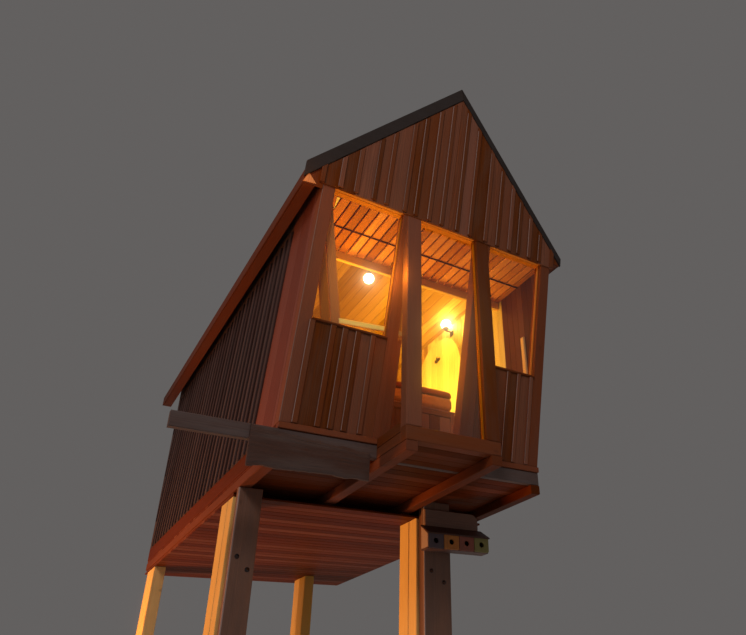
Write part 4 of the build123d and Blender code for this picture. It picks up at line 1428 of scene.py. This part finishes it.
def cloth_finish(name, light, dark):
    """A woven cover with a soft sheen."""
    material, shader, wires = new_material(name)
    group = wires.fill(wires.node("ShaderNodeGroup", node_tree=weave), {
        "Vector": wires.node("ShaderNodeTexCoord").outputs["Object"], "Light": (*light, 1), "Dark": (*dark, 1)})
    wires.fill(shader, {"Base Color": group.outputs["Color"], "Roughness": group.outputs["Roughness"],
                        "Sheen Weight": 0.3, "Normal": wires.relief(group.outputs["Height"], 0.4, 0.001)})
    return material


base_cloth = cloth_finish("mattress_cover", (0.75, 0.30, 0.06), (0.5, 0.17, 0.03))
pad_cloth = cloth_finish("seat_pad_cover", (0.4, 0.06, 0.015), (0.25, 0.035, 0.01))
pillow_cloth = cloth_finish("pillow_cover", (0.8, 0.66, 0.45), (0.66, 0.5, 0.3))
print("covers:", base_cloth.name, pad_cloth.name, pillow_cloth.name)

# %% [markdown]
# The blank is a cube's six grids in one array, and corners that two grids share are joined. The cloth run pumps it up
# like a cushion cover with air in it. A swelling of 12 mm is the most that a point may move, so a small cushion keeps
# its seat.

# %% Cushion helpers
PRESSURE, CLOTH_FRAMES, MOST = 4.0, 20, 0.012


def rounded_box(low, high, radius=0.045, steps=40):
    """A closed cushion blank: a box's surface grid, held inside a smaller box and pushed out again by the radius."""
    t = np.sin(np.linspace(-1, 1, steps) * math.pi / 2)
    a, b = np.meshgrid(t, t, indexing="ij")
    one = np.ones_like(a)
    sides = [(a, b, one), (b, a, -one), (one, a, b), (-one, b, a), (b, one, a), (a, -one, b)]
    cube = np.concatenate([np.stack(s, -1).reshape(-1, 3) for s in sides])
    centre, reach = (np.array(low) + high) / 2, (np.array(high) - low) / 2
    held = np.clip(cube * reach, radius - reach, reach - radius)
    out_of = cube * reach - held
    shape = held + radius * out_of / np.linalg.norm(out_of, axis=1)[:, None]
    _, quads = grid(steps, steps)
    faces = np.concatenate([quads + n * steps * steps for n in range(6)])
    _, first_of, same = np.unique(cube.round(6), axis=0, return_index=True, return_inverse=True)
    return centre + shape[first_of], same.reshape(-1)[faces].tolist()


def swell(made, voxel):
    """The remeshed points after some frames of cloth under pressure, none moved further than MOST; the mean move."""
    bpy.context.view_layer.objects.active = made
    remesh = made.modifiers.new("remesh", "REMESH")
    remesh.mode, remesh.voxel_size = "VOXEL", voxel
    bpy.ops.object.modifier_apply(modifier="remesh")
    rest = np.empty(len(made.data.vertices) * 3, np.float32)
    made.data.vertices.foreach_get("co", rest)
    cloth = made.modifiers.new("cloth", "CLOTH")
    cloth.settings.use_pressure = True
    cloth.settings.uniform_pressure_force = PRESSURE
    cloth.settings.effector_weights.gravity = 0.0
    for number in range(1, CLOTH_FRAMES + 1):
        bpy.context.scene.frame_set(number)
    seen = made.evaluated_get(bpy.context.evaluated_depsgraph_get())
    moved = np.empty_like(rest)
    seen.data.vertices.foreach_get("co", moved)
    made.modifiers.remove(cloth)
    bpy.context.scene.frame_set(1)
    step = (moved - rest).reshape(-1, 3)
    length = np.linalg.norm(step, axis=1)
    step *= np.minimum(1, MOST / np.maximum(length, 1e-9))[:, None]
    return rest.reshape(-1, 3) + step, float(np.minimum(length, MOST).mean())


def cushion(name, low, high, shrink, finish, slot, nodes, voxel=0.008):
    """A padded piece inside a box: the blank, drawn in by shrink, then its swelling, held back at the box's faces."""
    low, high = np.array(low, float), np.array(high, float)
    points, faces = rounded_box(low + shrink, high - shrink)
    made = new_piece(name, points, faces, finish, slot, *nodes, smooth=True)
    shape, mean = swell(made, voxel)
    shape = np.clip(shape, put(low), put(high))
    made.data.vertices.foreach_set("co", shape.astype(np.float32).ravel())
    made.data.polygons.foreach_set("use_smooth", [True] * len(made.data.polygons))
    made.data.update()
    print(name, "points", len(shape), "mean swelling mm", round(mean * 1000, 1))


print("at most", MOST * 1000, "mm of swelling in", CLOTH_FRAMES, "frames")

# %% [markdown]
# Three cushions lie on the bench: a thick mattress, a thinner dark seat pad over it, and a pillow at the end. The
# first two share one solid of the frame, so the mattress stands for it and the pad simply lies on top.

# %% Mattress, seat pad and pillow
pad_low, pad_high = solid("bench_cushion")
MATTRESS = 0.153
SPLIT = pad_low[2] + MATTRESS
cushion("bench_mattress", pad_low + CLEAR, (pad_high[0] - CLEAR, pad_high[1] - CLEAR, SPLIT), 0.008, base_cloth,
        "seat_fabric", ["bench_cushion"])
cushion("seat_pad", (pad_low[0] + 0.006, pad_low[1] + 0.004, SPLIT + HAIR), pad_high - 0.004, 0.007, pad_cloth,
        "seat_fabric", [])
pillow_low, pillow_high = solid("pillow")
cushion("pillow_soft", pillow_low + HAIR, pillow_high - HAIR, 0.008, pillow_cloth, "pillow_fabric", ["pillow"],
        0.006)
print("mattress", MATTRESS, "m thick, its seam with the pad at", round(SPLIT, 3))

# %% Finish
box_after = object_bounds()
grown = [round(float((box_after[1][i] - box_after[0][i]) / (box_before[1][i] - box_before[0][i])), 4) for i in range(3)]
print("size against the frame:", grown)
